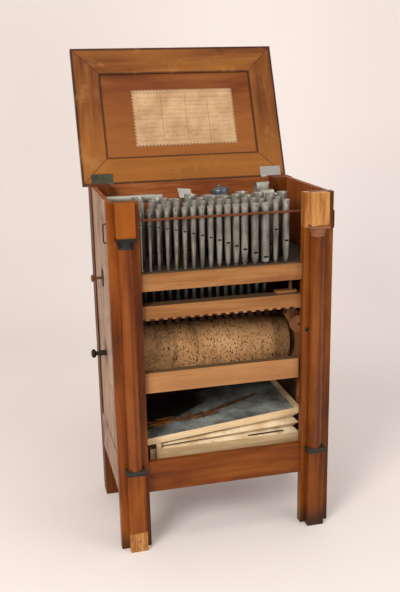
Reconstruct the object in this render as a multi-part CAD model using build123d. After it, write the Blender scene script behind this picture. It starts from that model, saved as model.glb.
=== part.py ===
from build123d import *
import math
import os

# A chamber barrel organ in a column-fronted cabinet, with its lid open and its front panel off.
# Millimetres, +Z up. The pieces are drawn in the case's own frame: x = 0 is the middle of the case,
# y = 0 the front face of the two front post boards, z = 0 the floor. They are written out moved so
# that the origin is the middle of the whole object's footprint.

# Case
case_width = 626.0
case_depth = 393.0
case_height = 1000.0
front_post_width = 85.6
front_post_thickness = 24.0
outer_strip = 21.8
rear_post_side = 60.0
side_thickness = 14.5
side_recess = 4.0
back_thickness = 14.0
back_recess = 3.0
back_drop = 4.0
apron_bottom = 166.0
apron_top = 258.0
apron_setback = 6.0
side_rail_bottom = 176.0
side_rail_top = 285.0
floor_thickness = 10.0
cleat_depth = 20.0
cleat_width = 14.0
half_width = case_width / 2
post_inner = half_width - front_post_width
side_inner = half_width - side_recess - side_thickness
rear_post_front = case_depth - rear_post_side

# Columns on the front posts
block_width = 49.7
block_projection = 26.2
plinth_height = 238.0
base_ring_height = 12.0
cap_block_height = 90.0
capital_height = 30.0
capital_top = case_height - cap_block_height
capital_bottom = capital_top - capital_height
shaft_radius = 20.5
shaft_setback = 5.0
base_ring_lip = 2.5
capital_neck_radius = 19.0
capital_ring_radius = 22.0
capital_lip = 2.6

# Front rails
rail_setback = 12.0
rail_lap = 32.0
pipe_space = 196.0
upper_rail_height = 47.0
tracker_opening = 43.0
middle_rail_height = 41.0
barrel_drop = 135.0
lower_rail_drop = 15.0
lower_rail_height = 59.0
middle_rail_depth = 40.0
lower_rail_depth = 24.0
lower_rail_gap = 6.4
rail_block_length = 60.0
rail_block_height = 8.0
conveyance_radius = 5.0
upper_rail_top = case_height - pipe_space
upper_rail_bottom = upper_rail_top - upper_rail_height
middle_rail_top = upper_rail_bottom - tracker_opening
middle_rail_bottom = middle_rail_top - middle_rail_height
barrel_axis_z = middle_rail_bottom - barrel_drop
lower_rail_top = barrel_axis_z - lower_rail_drop
lower_rail_bottom = lower_rail_top - lower_rail_height

# Barrel, worm wheel and crankshaft
barrel_radius = 74.0
barrel_axis_y = 180.0
barrel_end_gap = 2.5
barrel_to_worm = 0.6
pin_height = 1.2
pin_width = 1.3
pins_per_track = 9
gudgeon_radius = 5.0
gudgeon_length = 14.0
gudgeon_sink = 20.0
arbor_radius = 6.0
shaft_clearance = 0.05
wheel_teeth = 45
wheel_pitch_radius = 63.8
wheel_face = 7.0
hub_radius = 12.0
tooth_addendum = 2.2
tooth_dedendum = 2.7
tooth_tip_half = 1.3
tooth_root_half = 2.6
drive_pin_radius = 3.0
drive_pin_circle = 36.0
drive_pin_length = 34.0
drive_hole_clearance = 0.6
drive_hole_extra = 4.0
crank_to_side = 54.0
crank_x = side_inner - crank_to_side
worm_root_clearance = 0.5
worm_turns = 4.5
thread_tip_half = 0.8
thread_root_half = 1.6
thread_sink = 0.8
crankshaft_radius = 4.5
crankshaft_front = -1.0
crank_socket_radius = 2.5
crank_socket_depth = 14.0
crank_throw = 16.0
crank_web_radius = 13.0
crank_web_thickness = 8.0
crank_pin_radius = 4.0

# Connecting rod
rod_thickness = 8.0
rod_width = 12.0
rod_eye_radius = 11.0
rod_lower_radius = 8.0
rod_side_gap = 0.6

# Boards that carry the barrel
bearer_thickness = 18.0
bearer_front = 98.0
bearer_rear_gap = 23.0
bearer_rear = rear_post_front - bearer_rear_gap
bearer_rise = 48.0
bearer_top = barrel_axis_z + bearer_rise
bearer_spacer_depth = 30.0
wheel_to_bearer = 3.0
left_bearer_gap = 6.0
boss_radius = 27.0
boss_front = 60.0
boss_length = 15.0
bracket_reach = 39.0
bracket_gap = 17.0
bracket_top = middle_rail_bottom - bracket_gap
bracket_height = 281.0
bracket_tail = bracket_top - bracket_height
bracket_left_reach = 7.0
rear_bearing_length = 24.0
rear_bearing_front = bearer_rear - rear_bearing_length
rear_bearing_half_width = 14.0
rear_bearing_rise = 22.0

# Iron fittings
bush_radius = 7.5
bush_seat_gap = 0.02
staple_wire_radius = 1.6
staple_reach = 7.5
staple_drop = 55.0
staple_height = 50.0
staple_top = case_height - staple_drop
staple_bottom = staple_top - staple_height
staple_y = 14.0
stop_plate_width = 34.0
stop_plate_height = 46.0
stop_plate_thickness = 2.0

# Tune-change bolt and stop knob
bolt_radius = 8.0
bolt_hole_gap = 0.5
bolt_reach = 39.0
bolt_head_radius = 13.0
bolt_head_depth = 14.0
bolt_neck_radius = 6.0
tune_travel = 18.0
bolt_to_barrel = 3.0
socket_extra = 1.0
stop_to_rank = 4.0
stop_rise = 7.0
stop_z = upper_rail_bottom + stop_rise
stop_rod_radius = 4.0
stop_rod_gap = 0.5
stop_head_radius = 11.0
stop_head_depth = 10.0
stop_plate_gap = 6.0
stop_travel = 15.0
slider_width = 30.0
slider_thickness = 5.0
slider_gap = 0.3
slider_left_margin = 16.5
slider_left = slider_left_margin - side_inner
slider_right_margin = 54.5
slider_right = side_inner - slider_right_margin
slider_link_length = 10.0
slider_link_width = 10.0
slider_hole_radius = 5.0

# Places of the barrel, its wheel and its boards
worm_root_radius = crankshaft_radius
worm_pitch_radius = worm_root_radius + worm_root_clearance + tooth_addendum
worm_tip_radius = worm_pitch_radius + tooth_dedendum - worm_root_clearance
barrel_right = crank_x - worm_tip_radius - barrel_to_worm
wheel_left = crank_x - wheel_face / 2
wheel_right = crank_x + wheel_face / 2
crank_z = barrel_axis_z + wheel_pitch_radius + worm_pitch_radius
right_bearer_left = wheel_right + wheel_to_bearer
right_bearer_right = right_bearer_left + bearer_thickness
left_bearer_right = -(side_inner - left_bearer_gap - bearer_thickness)
left_bearer_left = left_bearer_right - bearer_thickness
barrel_left = left_bearer_right + tune_travel + barrel_end_gap

# Keys
key_count = 17
first_key_margin = 50.0
last_key_margin = 32.1
first_key_x = barrel_left + first_key_margin
key_pitch = (barrel_right - last_key_margin - first_key_x) / (key_count - 1)
key_width = 14.0
key_height = 12.0
key_front = 155.0
key_lift = 3.6
key_pivot_y = 215.0
tip_width = 4.0
tip_length = 8.0
tip_clearance = 0.3
tracker_y = 257.0
tracker_to_key_end = 13.0
key_back = tracker_y + tracker_to_key_end
tracker_radius = 6.0
tracker_gap = 6.0
wire_radius = 1.0
pallet_width = 18.0
pallet_length = 70.0
pallet_thickness = 9.0
pallet_setback = 8.0
key_axle_radius = 2.0
key_rail_height = 20.0
key_rail_depth = 28.0
key_rail_gap = 6.0
lug_thickness = 5.0
lug_depth = 12.0
key_post_depth = 26.0

# Wind chest and sound board
chest_front = front_post_thickness
chest_rear_gap = 1.0
chest_rear = rear_post_front - chest_rear_gap
chest_side_gap = 1.5
chest_wall = 8.0
chest_floor = 6.0
sound_board_thickness = 12.0
wire_slot_width = 7.0
wire_slot_length = 18.0
toe_hole_radius = 1.8

# Pipes
pipe_wall = 0.8
toe_radius = 3.0
toe_height = 3.0
foot_share = 0.72
front_rank_y = 40.0
front_rank_left_margin = 9.4
front_rank_right_margin = 37.4
front_rank_wide_share = 1.25
front_rank_narrow_count = 13
front_rank_wide_count = 4
front_rank_spaces = front_rank_narrow_count - 1 + front_rank_wide_count * front_rank_wide_share
front_rank_span = 2 * post_inner - front_rank_left_margin - front_rank_right_margin
front_rank_x = front_rank_left_margin - post_inner
front_rank_pitch = front_rank_span / front_rank_spaces
front_rank_wide_pitch = front_rank_wide_share * front_rank_pitch
front_rank_top = case_height - 28.0
front_first_radius = 4.3
front_radius_step = 0.46
front_first_body = 42.0
front_body_growth = 1.0965
last_pipe_radii = (8.2, 9.5)
last_pipe_mouth_drops = (105.0, 138.0)
last_pipe_mouths = [case_height - drop for drop in last_pipe_mouth_drops]
last_pipe_extra_height = 6.0
second_rank_y = 76.0
second_rank_count = 17
second_rank_first_radius = 6.0
second_rank_radius_step = 0.25
second_rank_top = case_height - 16.0
second_rank_mouth = upper_rail_top + 42.0
third_rank_y = 116.0
third_rank_count = 13
third_rank_pitch = 34.0
third_rank_first_radius = 9.0
third_rank_radius_step = 0.4
third_rank_top = case_height - 12.0
third_rank_mouth = upper_rail_top + 34.0
bass_rank_y = 168.0
stop_y = bass_rank_y + stop_to_rank
bass_rank_count = 9
bass_rank_pitch = 50.0
bass_rank_radius = 16.5
bass_rank_top = case_height - 14.0
bass_mouth = upper_rail_top + 46.0
bass_toe_radius = 5.0
lying_pipe_radius = 12.0
lying_pipe_y = rear_post_front - 33.0
lying_pipe_x = 22.5 - side_inner
lying_pipe_z = case_height - 38.0
lying_pipe_reach = 165.0
capped_pipe_x = 70.0
capped_pipe_y = rear_post_front - 37.0
capped_pipe_radius = 27.0
capped_pipe_top = case_height - 23.0
cap_height = 10.0
cap_knob_radius = 5.0
cap_knob_height = 9.0
plate_pipe_x = -46.0
plate_pipe_y = rear_post_front - 78.0
plate_pipe_side = 34.0
plate_pipe_top = case_height - 34.0
plate_side = 40.0
plate_thickness = 1.2
plate_tilt = 35.0
hood_pipe_x = 205.0
hood_pipe_y = rear_post_front - 43.0
hood_pipe_radius = 19.0
hood_pipe_top = case_height - 24.0
low_hood_x = 196.0
low_hood_y = rear_post_front - 90.0
low_hood_top = case_height - 41.0
hood_reach = 24.0
square_pipe_side = 40.0
square_pipe_count = 3
square_pipe_x = -215.0
square_pipe_y = rear_post_front - 89.0
square_pipe_pitch = 52.0
square_pipe_top = case_height - 75.0

# Pipe rack strip
rack_drop = 28.0
rack_bottom = front_rank_top - rack_drop
rack_height = 5.0
rack_depth = 8.0
rack_pipe_gap = 1.2
rack_block = 16.0

# Bellows
bellows_front = 45.0
bellows_rear_gap = 22.0
bellows_rear = rear_post_front - bellows_rear_gap
bellows_bearer_gap = 7.0
bellows_right = right_bearer_left - bellows_bearer_gap
moving_board_gap = 1.0
board_rest_gap = 0.3
middle_board_bottom = 240.0
middle_board_top = 275.0
end_block_length = 14.0
top_board_margin = 44.5
top_board_overhang = 31.0
top_board_left = left_bearer_right + top_board_margin
middle_board_left = top_board_left + top_board_overhang
top_board_thickness = 20.0
top_board_slope = 5.65
top_board_low = 291.6
batten_width = 16.0
batten_height = 4.0
rib_margin = 7.0
rib_fold_depth = 20.0
rib_wall = 12.0
rib_end_gap = 1.6
feeder_setback = 5.0
feeder_left = middle_board_left + feeder_setback
feeder_thickness = 12.0
feeder_slope = 4.6
feeder_high = 236.0
feeder_ear_width = 22.0
feeder_ear_height = 12.0
feeder_ear_lap = 20.0
feeder_ear_gap = 1.0
foot_thickness = 18.0
foot_setback = 6.0

# Wind trunk
trunk_margin = 20.5
trunk_left = left_bearer_right + trunk_margin
trunk_width = 60.0
trunk_depth = 20.5
trunk_wall = 6.0

# Lid
lid_overhang = 18.0
lid_width = case_width + lid_overhang
lid_shift = -6.0
lid_front_overhang = 40.0
lid_length = case_depth + lid_front_overhang
lid_thickness = 20.0
lid_gap = 0.4
lid_lean = 22.65
lid_rail_width = 84.0
lid_panel_thickness = 8.0
lid_panel_sink = 4.0
lid_edge_round = 4.0
sheet_right_margin = 60.0
sheet_height = 181.0
sheet_left_margin = 92.0
sheet_width = lid_width - 2 * lid_rail_width - sheet_left_margin - sheet_right_margin
sheet_low_margin = 32.0
sheet_thickness = 0.4

# Lid hinges
hinge_drop = 4.0
hinge_knuckle_radius = 3.4
hinge_offset = 4.0
hinge_pin_radius = 1.5
hinge_length = 66.0
hinge_leaf_thickness = 1.6
hinge_leaf_height = 34.0
hinge_inset = 46.0
knuckle_gap = 0.4


def block(x0, x1, y0, y1, z0, z1):
    """A rectangular piece between two corners."""
    middle = ((x0 + x1) / 2, (y0 + y1) / 2, (z0 + z1) / 2)
    return Pos(*middle) * Box(x1 - x0, y1 - y0, z1 - z0)


def rod_x(x0, x1, y, z, radius):
    return Pos((x0 + x1) / 2, y, z) * Rot(0, 90, 0) * Cylinder(radius, x1 - x0)


def rod_y(x, y0, y1, z, radius):
    return Pos(x, (y0 + y1) / 2, z) * Rot(90, 0, 0) * Cylinder(radius, y1 - y0)


def rod_z(x, y, z0, z1, radius):
    return Pos(x, y, (z0 + z1) / 2) * Cylinder(radius, z1 - z0)


def turned(points):
    """A piece turned about Z from its (radius, height) outline."""
    outline = Plane.XZ * make_face(Polyline(*points, close=True))
    return revolve(outline, Axis.Z)


def mirrored(piece):
    return mirror(piece, Plane.YZ)


def centred(count, pitch):
    """Places at an even pitch on both sides of the middle of the case."""
    return [pitch * (number - (count - 1) / 2) for number in range(count)]


column_x = half_width - outer_strip - block_width / 2
floor_bottom = side_rail_bottom
chest_half_width = side_inner - chest_side_gap
sound_board_bottom = upper_rail_top - sound_board_thickness
key_bottom = barrel_axis_z + barrel_radius + key_lift
key_top = key_bottom + key_height
key_pivot_z = (key_bottom + key_top) / 2


# ---------------------------------------------------------------- case

def front_post(side):
    """One flat post board; the right one is bored for the crankshaft's bush."""
    board = block(post_inner, half_width, 0, front_post_thickness, 0, case_height)
    if side < 0:
        return mirrored(board)
    hole = rod_y(crank_x, -1, front_post_thickness + 1, crank_z, bush_radius + bush_seat_gap)
    return board - hole


def rear_posts():
    inner = half_width - rear_post_side
    post = block(inner, half_width, rear_post_front, case_depth, 0, case_height)
    return [post, mirrored(post)]


def side_panel(side):
    """A side: the panel, its bottom rail and the cleat that the wind chest stands on."""
    outer = half_width - side_recess
    panel = block(side_inner, outer, front_post_thickness, rear_post_front, side_rail_top, case_height - 1)
    rail = block(side_inner, half_width, front_post_thickness, rear_post_front, side_rail_bottom, side_rail_top)
    cleat = block(
        side_inner - cleat_width,
        side_inner,
        front_post_thickness,
        rear_post_front,
        upper_rail_bottom - cleat_depth,
        upper_rail_bottom,
    )
    pieces = [panel, rail, cleat]
    if side > 0:
        return pieces
    pieces = [mirrored(piece) for piece in pieces]
    bolt_hole = rod_x(-half_width, -side_inner + 1, barrel_axis_y, barrel_axis_z, bolt_radius + bolt_hole_gap)
    stop_hole = rod_x(-half_width, -side_inner + 1, stop_y, stop_z, stop_rod_radius + stop_rod_gap)
    pieces[0] = pieces[0] - bolt_hole - stop_hole
    return pieces


def back_panel():
    inner = half_width - rear_post_side
    rear = case_depth - back_recess
    return block(-inner, inner, rear - back_thickness, rear, side_rail_bottom, case_height - back_drop)


def front_apron():
    return block(-post_inner, post_inner, apron_setback, front_post_thickness, apron_bottom, apron_top)


def floor_board():
    top = floor_bottom + floor_thickness
    return block(-side_inner, side_inner, front_post_thickness, rear_post_front, floor_bottom, top)


def both_sides(piece):
    return [mirrored(piece), piece]


def column_shaft():
    """A round shaft with a flat back against the post board."""
    bottom = plinth_height + base_ring_height
    shaft = rod_z(column_x, -shaft_setback, bottom, capital_bottom, shaft_radius)
    board_side = block(
        column_x - block_width, column_x + block_width, 0, block_width, bottom - 1, capital_bottom + 1
    )
    return shaft - board_side


def column_base():
    """A square ring with an eased upper edge between plinth and shaft."""
    half = block_width / 2 + base_ring_lip
    top = plinth_height + base_ring_height
    ring = block(
        column_x - half, column_x + half, -block_projection - base_ring_lip, 0, plinth_height, top
    )
    upper = ring.edges().filter_by(Axis.X).sort_by(Axis.Z)[-2:].sort_by(Axis.Y)[:1]
    return chamfer(upper, base_ring_lip)


def column_capital():
    """Turned rings that flare up to a square abacus, cut flat against the post board."""
    height = capital_top - capital_bottom
    abacus = height * 0.3
    neck = capital_neck_radius
    ring = capital_ring_radius
    outline = [
        (0, capital_bottom),
        (neck + 1, capital_bottom),
        (neck + 1, capital_bottom + 3),
        (neck, capital_bottom + 4),
        (neck, capital_bottom + 8),
        (neck + 2, capital_bottom + 10),
        (ring, capital_top - abacus),
        (0, capital_top - abacus),
    ]
    rings = Pos(column_x, -shaft_setback, 0) * turned(outline)
    half = block_width / 2 + capital_lip
    plate = block(
        column_x - half, column_x + half, -block_projection - capital_lip, 0, capital_top - abacus, capital_top
    )
    low_edge = plate.edges().filter_by(Axis.X).sort_by(Axis.Z)[:2].sort_by(Axis.Y)[:1]
    plate = chamfer(low_edge, capital_lip)
    behind = block(
        column_x - block_width, column_x + block_width, 0, block_width, capital_bottom - 1, capital_top + 1
    )
    return (rings - behind) + plate


def post_block(z0, z1):
    left = column_x - block_width / 2
    return block(left, left + block_width, -block_projection, 0, z0, z1)


# ---------------------------------------------------------------- front rails

def upper_front_rail():
    """The board that closes the front of the wind chest between the posts."""
    return block(
        -post_inner, post_inner, apron_setback, front_post_thickness, upper_rail_bottom, upper_rail_top
    )


def lapped_rail(left, right, depth, z0, z1):
    """A rail between the posts whose rear part laps behind them."""
    front = block(left, right, rail_setback, front_post_thickness, z0, z1)
    reach = post_inner + rail_lap
    rear = block(-reach, reach, front_post_thickness, rail_setback + depth, z0, z1)
    return front + rear


def middle_front_rail():
    """The middle rail, and the block on it that carries a conveyance tube."""
    rail = lapped_rail(-post_inner, post_inner, middle_rail_depth, middle_rail_bottom, middle_rail_top)
    rear = rail_setback + middle_rail_depth
    seat = block(
        post_inner - 2 * rail_block_length / 2 - 8,
        post_inner - 8,
        rear - 24,
        rear,
        middle_rail_top,
        middle_rail_top + rail_block_height,
    )
    return [rail, seat]


def lower_front_rail():
    right = post_inner - lower_rail_gap
    return lapped_rail(-post_inner, right, lower_rail_depth, lower_rail_bottom, lower_rail_top)


def conveyance_tube():
    """The tube that takes wind from the block on the middle rail up to the chest."""
    x = post_inner - 8 - rail_block_length / 4
    y = rail_setback + middle_rail_depth - 12
    bottom = middle_rail_top + rail_block_height
    tube = rod_z(x, y, bottom, upper_rail_bottom, conveyance_radius)
    return tube - rod_z(x, y, bottom, upper_rail_bottom, conveyance_radius - 1)


# ---------------------------------------------------------------- barrel

def barrel():
    """The wooden cylinder under its paper, with two holes for the wheel's driving pins."""
    core = rod_x(barrel_left, barrel_right, barrel_axis_y, barrel_axis_z, barrel_radius)
    depth = drive_pin_length + drive_hole_extra
    for side in (-1, 1):
        core -= rod_x(
            barrel_right - depth,
            barrel_right + 1,
            barrel_axis_y + side * drive_pin_circle,
            barrel_axis_z,
            drive_pin_radius + drive_hole_clearance,
        )
    left_bore = rod_x(barrel_left - 1, barrel_left + gudgeon_sink, barrel_axis_y, barrel_axis_z, gudgeon_radius)
    right_bore = rod_x(barrel_right - gudgeon_sink, barrel_right + 1, barrel_axis_y, barrel_axis_z, arbor_radius)
    return core - left_bore - right_bore


def key_x(number):
    return first_key_x + number * key_pitch


def barrel_pins():
    """Short pins in one ring under each key, spaced unevenly as tunes are."""
    pins = []
    for track in range(key_count):
        for number in range(pins_per_track):
            turn = 360.0 / pins_per_track * number + 17.0 * track + 9.0 * ((number * 5 + track * 3) % 4)
            pin = Pos(key_x(track), 0, barrel_radius + pin_height / 2) * Box(pin_width, pin_width, pin_height)
            pins.append(Pos(0, barrel_axis_y, barrel_axis_z) * Rot(turn, 0, 0) * pin)
    return pins


def barrel_arbor():
    """The two iron ends: a gudgeon in the tune bolt and an arbor that slides in the wheel's hub."""
    gudgeon = rod_x(
        barrel_left - gudgeon_length, barrel_left + gudgeon_sink, barrel_axis_y, barrel_axis_z, gudgeon_radius
    )
    arbor = rod_x(
        barrel_right - gudgeon_sink, right_bearer_right - 2, barrel_axis_y, barrel_axis_z, arbor_radius
    )
    return [gudgeon, arbor]


def wheel_outline():
    """Points round the toothed wheel, with a gap between two teeth straight up."""
    root = wheel_pitch_radius - tooth_dedendum
    tip = wheel_pitch_radius + tooth_addendum
    points = []
    for number in range(wheel_teeth):
        middle = 2 * math.pi * (number + 0.5) / wheel_teeth
        for radius, half in (
            (root, -tooth_root_half),
            (tip, -tooth_tip_half),
            (tip, tooth_tip_half),
            (root, tooth_root_half),
        ):
            angle = middle + half / radius
            points.append((radius * math.sin(angle), radius * math.cos(angle)))
    return points


def worm_wheel():
    """The wheel, its hub that turns in the bearer board, and two driving pins."""
    face = Plane.YZ * make_face(Polyline(*wheel_outline(), close=True))
    disc = Pos(wheel_left, barrel_axis_y, barrel_axis_z) * extrude(face, wheel_face)
    hub = rod_x(wheel_left, right_bearer_right, barrel_axis_y, barrel_axis_z, hub_radius)
    wheel = disc + hub
    for side in (-1, 1):
        wheel += rod_x(
            wheel_left - drive_pin_length,
            wheel_left + wheel_face / 2,
            barrel_axis_y + side * drive_pin_circle,
            barrel_axis_z,
            drive_pin_radius,
        )
    bore = rod_x(
        wheel_left - 1, right_bearer_right + 1, barrel_axis_y, barrel_axis_z, arbor_radius + shaft_clearance
    )
    return wheel - bore


# ---------------------------------------------------------------- crankshaft

worm_lead = 2 * math.pi * wheel_pitch_radius / wheel_teeth
crank_web_front = bearer_rear + 3
crank_web_rear = crank_web_front + crank_web_thickness
rod_front = crank_web_rear + rod_side_gap
rod_rear = rod_front + rod_thickness
crank_pin_z = crank_z - crank_throw
feeder_drop = (crank_x - feeder_left) * math.tan(math.radians(feeder_slope))
feeder_ear_z = feeder_high - feeder_drop - feeder_thickness / 2


def worm_thread():
    """A right-handed thread round the shaft, in mesh with the wheel's top gap."""
    path = Helix(worm_lead, worm_turns * worm_lead, worm_root_radius)
    start = Plane(origin=path @ 0, x_dir=(1, 0, 0), z_dir=path % 0)
    depth = worm_tip_radius - worm_root_radius
    profile = start * make_face(
        Polyline(
            (-thread_sink, -thread_root_half),
            (depth, -thread_tip_half),
            (depth, thread_tip_half),
            (-thread_sink, thread_root_half),
            close=True,
        )
    )
    thread = sweep(profile, path=path, is_frenet=True)
    first = barrel_axis_y - (worm_turns / 2) * worm_lead
    return Pos(crank_x, first, crank_z) * Rot(-90, 0, 0) * thread


def crankshaft():
    """The iron shaft with its worm, the socket for a handle in front and the throw behind."""
    shaft = rod_y(crank_x, crankshaft_front, crank_web_rear, crank_z, crankshaft_radius)
    socket = rod_y(
        crank_x, crankshaft_front - 1, crankshaft_front + crank_socket_depth, crank_z, crank_socket_radius
    )
    web = rod_y(crank_x, crank_web_front, crank_web_rear, crank_z, crank_web_radius)
    web += rod_y(crank_x, crank_web_front, crank_web_rear, crank_pin_z, crank_web_radius)
    pin = rod_y(crank_x, crank_web_front, rod_rear, crank_pin_z, crank_pin_radius)
    return (shaft + worm_thread() + web + pin) - socket


def connecting_rod():
    """A wooden rod with an eye on the crank pin and a pin that points at the feeder's ear."""
    upper = rod_y(crank_x, rod_front, rod_rear, crank_pin_z, rod_eye_radius)
    lower = rod_y(crank_x, rod_front, rod_rear, feeder_ear_z, rod_lower_radius)
    half = rod_width / 2
    bar = block(crank_x - half, crank_x + half, rod_front, rod_rear, feeder_ear_z, crank_pin_z)
    bore = rod_y(crank_x, rod_front - 1, rod_rear + 1, crank_pin_z, crank_pin_radius + shaft_clearance)
    return (upper + bar + lower) - bore


# ---------------------------------------------------------------- boards that carry the barrel

def bearer_board(x0, x1):
    return block(x0, x1, bearer_front, bearer_rear, floor_bottom + floor_thickness, bearer_top)


def left_bearer_board():
    """The left board, with a spacer to the side and a hole in which the tune bolt slides."""
    board = bearer_board(left_bearer_left, left_bearer_right)
    spacer = block(
        -side_inner,
        left_bearer_left,
        bearer_front,
        bearer_front + bearer_spacer_depth,
        lower_rail_bottom,
        lower_rail_top,
    )
    hole = rod_x(
        left_bearer_left - 1,
        left_bearer_right + 1,
        barrel_axis_y,
        barrel_axis_z,
        bolt_radius + shaft_clearance,
    )
    return (board - hole) + spacer


def right_bearer_board():
    """The right board, bored for the wheel's hub and tied to the side by a spacer."""
    board = bearer_board(right_bearer_left, right_bearer_right)
    spacer = block(
        right_bearer_right,
        side_inner,
        bearer_front,
        bearer_front + bearer_spacer_depth,
        lower_rail_bottom,
        lower_rail_top,
    )
    hole = rod_x(
        right_bearer_left - 1,
        right_bearer_right + 1,
        barrel_axis_y,
        barrel_axis_z,
        hub_radius + shaft_clearance,
    )
    return (board - hole) + spacer


def crank_bearing_blocks():
    """The rounded bracket with its boss behind the right post, and the bearing behind the worm."""
    boss = rod_y(crank_x, boss_front, boss_front + boss_length, crank_z, boss_radius)
    left = crank_x - bracket_reach
    points = [
        (right_bearer_right, bracket_tail),
        (right_bearer_right, crank_z + boss_radius),
        (crank_x + 4, crank_z + boss_radius + 4),
        (crank_x - 12, bracket_top),
        (left + 8, bracket_top - 4),
        (left, bracket_top - 18),
        (left + 6, bracket_top - 28),
        (crank_x - 10, crank_z - boss_radius + 6),
        (right_bearer_left - bracket_left_reach, crank_z - boss_radius - 8),
        (right_bearer_left - bracket_left_reach, bracket_tail),
    ]
    face = Plane.XZ * make_face(Polyline(*points, close=True))
    arm = Pos(0, bearer_front, 0) * extrude(face, bearer_front - boss_front - boss_length)
    shaft_hole = rod_y(crank_x, 0, case_depth, crank_z, crankshaft_radius + shaft_clearance)
    front = (boss + arm) - shaft_hole
    half = rear_bearing_half_width
    rear = block(
        crank_x - half,
        right_bearer_right,
        rear_bearing_front,
        rear_bearing_front + rear_bearing_length,
        bearer_top,
        crank_z + rear_bearing_rise,
    )
    return [front, rear - shaft_hole]


# ---------------------------------------------------------------- iron fittings

def staple():
    """A wire staple on the side of the case, near the front."""
    x = half_width
    path = FilletPolyline(
        (x, staple_y, staple_bottom),
        (x + staple_reach, staple_y, staple_bottom),
        (x + staple_reach, staple_y, staple_top),
        (x, staple_y, staple_top),
        radius=4,
    )
    section = Plane(origin=path @ 0, z_dir=path % 0) * Circle(staple_wire_radius)
    return sweep(section, path=path)


def crank_bush():
    outer = rod_y(crank_x, 0, front_post_thickness, crank_z, bush_radius)
    return outer - rod_y(crank_x, -1, front_post_thickness + 1, crank_z, crankshaft_radius + shaft_clearance)


def stop_plate():
    outer = -(half_width - side_recess)
    plate = block(
        outer - stop_plate_thickness,
        outer,
        stop_y - stop_plate_width / 2,
        stop_y + stop_plate_width / 2,
        stop_z - stop_plate_height / 2,
        stop_z + stop_plate_height / 2,
    )
    plate = fillet(plate.edges().filter_by(Axis.X), 7)
    return plate - rod_x(outer - 5, outer + 5, stop_y, stop_z, stop_rod_radius + stop_rod_gap)


# ---------------------------------------------------------------- tune bolt and stop

def tune_bolt():
    """The bolt on the barrel's axis, with its mushroom head outside and a socket inside."""
    outer = -half_width
    end = barrel_left - bolt_to_barrel
    head_out = outer - bolt_reach
    bolt = rod_x(outer - bolt_reach / 2, end, barrel_axis_y, barrel_axis_z, bolt_radius)
    outline = [
        (0, 0),
        (bolt_head_radius * 0.55, 0),
        (bolt_head_radius * 0.9, 3),
        (bolt_head_radius, bolt_head_depth * 0.5),
        (bolt_head_radius * 0.85, bolt_head_depth * 0.8),
        (bolt_neck_radius, bolt_head_depth),
        (bolt_neck_radius, bolt_reach / 2 + 1),
        (0, bolt_reach / 2 + 1),
    ]
    head = Pos(head_out, barrel_axis_y, barrel_axis_z) * Rot(0, 90, 0) * turned(outline)
    depth = gudgeon_length - bolt_to_barrel + socket_extra
    socket = rod_x(end - depth, end + 1, barrel_axis_y, barrel_axis_z, gudgeon_radius + shaft_clearance)
    return (bolt + head) - socket


def stop_knob():
    """The stop: a turned knob and rod outside, and inside a slider strip under the sound board.

    The strip's holes stand under the largest round pipes while the knob is out.
    """
    outline = [
        (0, 0),
        (stop_head_radius * 0.6, 0),
        (stop_head_radius, stop_head_depth * 0.35),
        (stop_head_radius * 0.95, stop_head_depth * 0.6),
        (stop_rod_radius, stop_head_depth),
        (0, stop_head_depth),
    ]
    plate_face = -(half_width - side_recess) - stop_plate_thickness
    tip = plate_face - stop_plate_gap - stop_travel - stop_head_depth
    knob = Pos(tip, stop_y, stop_z) * Rot(0, 90, 0) * turned(outline)
    rod_end = slider_left + slider_link_length / 2
    rod = rod_x(tip + stop_head_depth - 1, rod_end, stop_y, stop_z, stop_rod_radius)
    top = sound_board_bottom - slider_gap
    link = block(
        slider_left,
        slider_left + slider_link_length,
        stop_y - slider_link_width / 2,
        stop_y + slider_link_width / 2,
        upper_rail_bottom + chest_floor,
        top,
    )
    slider = block(
        slider_left,
        slider_right,
        stop_y - slider_width / 2,
        stop_y + slider_width / 2,
        top - slider_thickness,
        top,
    )
    holes = [
        rod_z(x, bass_rank_y, top - slider_thickness - 1, top + 1, slider_hole_radius)
        for x in centred(bass_rank_count, bass_rank_pitch)
    ]
    return knob + rod + link + (slider - holes)


# ---------------------------------------------------------------- keys

def key(number):
    """One key with its tip, its tracker rod, the pull-down wire and the pallet that it opens."""
    x = key_x(number)
    half = key_width / 2
    lever = block(x - half, x + half, key_front, key_back, key_bottom, key_top)
    nose_edges = lever.edges().filter_by(Axis.X).sort_by(Axis.Y)[:2]
    lever = chamfer(nose_edges, 2)
    lever -= rod_x(x - half - 1, x + half + 1, key_pivot_y, key_pivot_z, key_axle_radius + shaft_clearance)
    tip_bottom = barrel_axis_z + barrel_radius + pin_height + tip_clearance - 1.1
    tip = block(
        x - tip_width / 2,
        x + tip_width / 2,
        key_front + 3,
        key_front + 3 + tip_length,
        tip_bottom,
        key_bottom,
    )
    tracker_top = upper_rail_bottom - tracker_gap
    tracker = rod_z(x, tracker_y, key_top, tracker_top, tracker_radius)
    pallet_bottom = sound_board_bottom - pallet_thickness - 1
    wire = rod_z(x, tracker_y, tracker_top, pallet_bottom, wire_radius)
    pallet = block(
        x - pallet_width / 2,
        x + pallet_width / 2,
        tracker_y + pallet_setback - pallet_length,
        tracker_y + pallet_setback,
        pallet_bottom,
        pallet_bottom + pallet_thickness,
    )
    return [lever, tip, tracker, wire, pallet]


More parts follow.
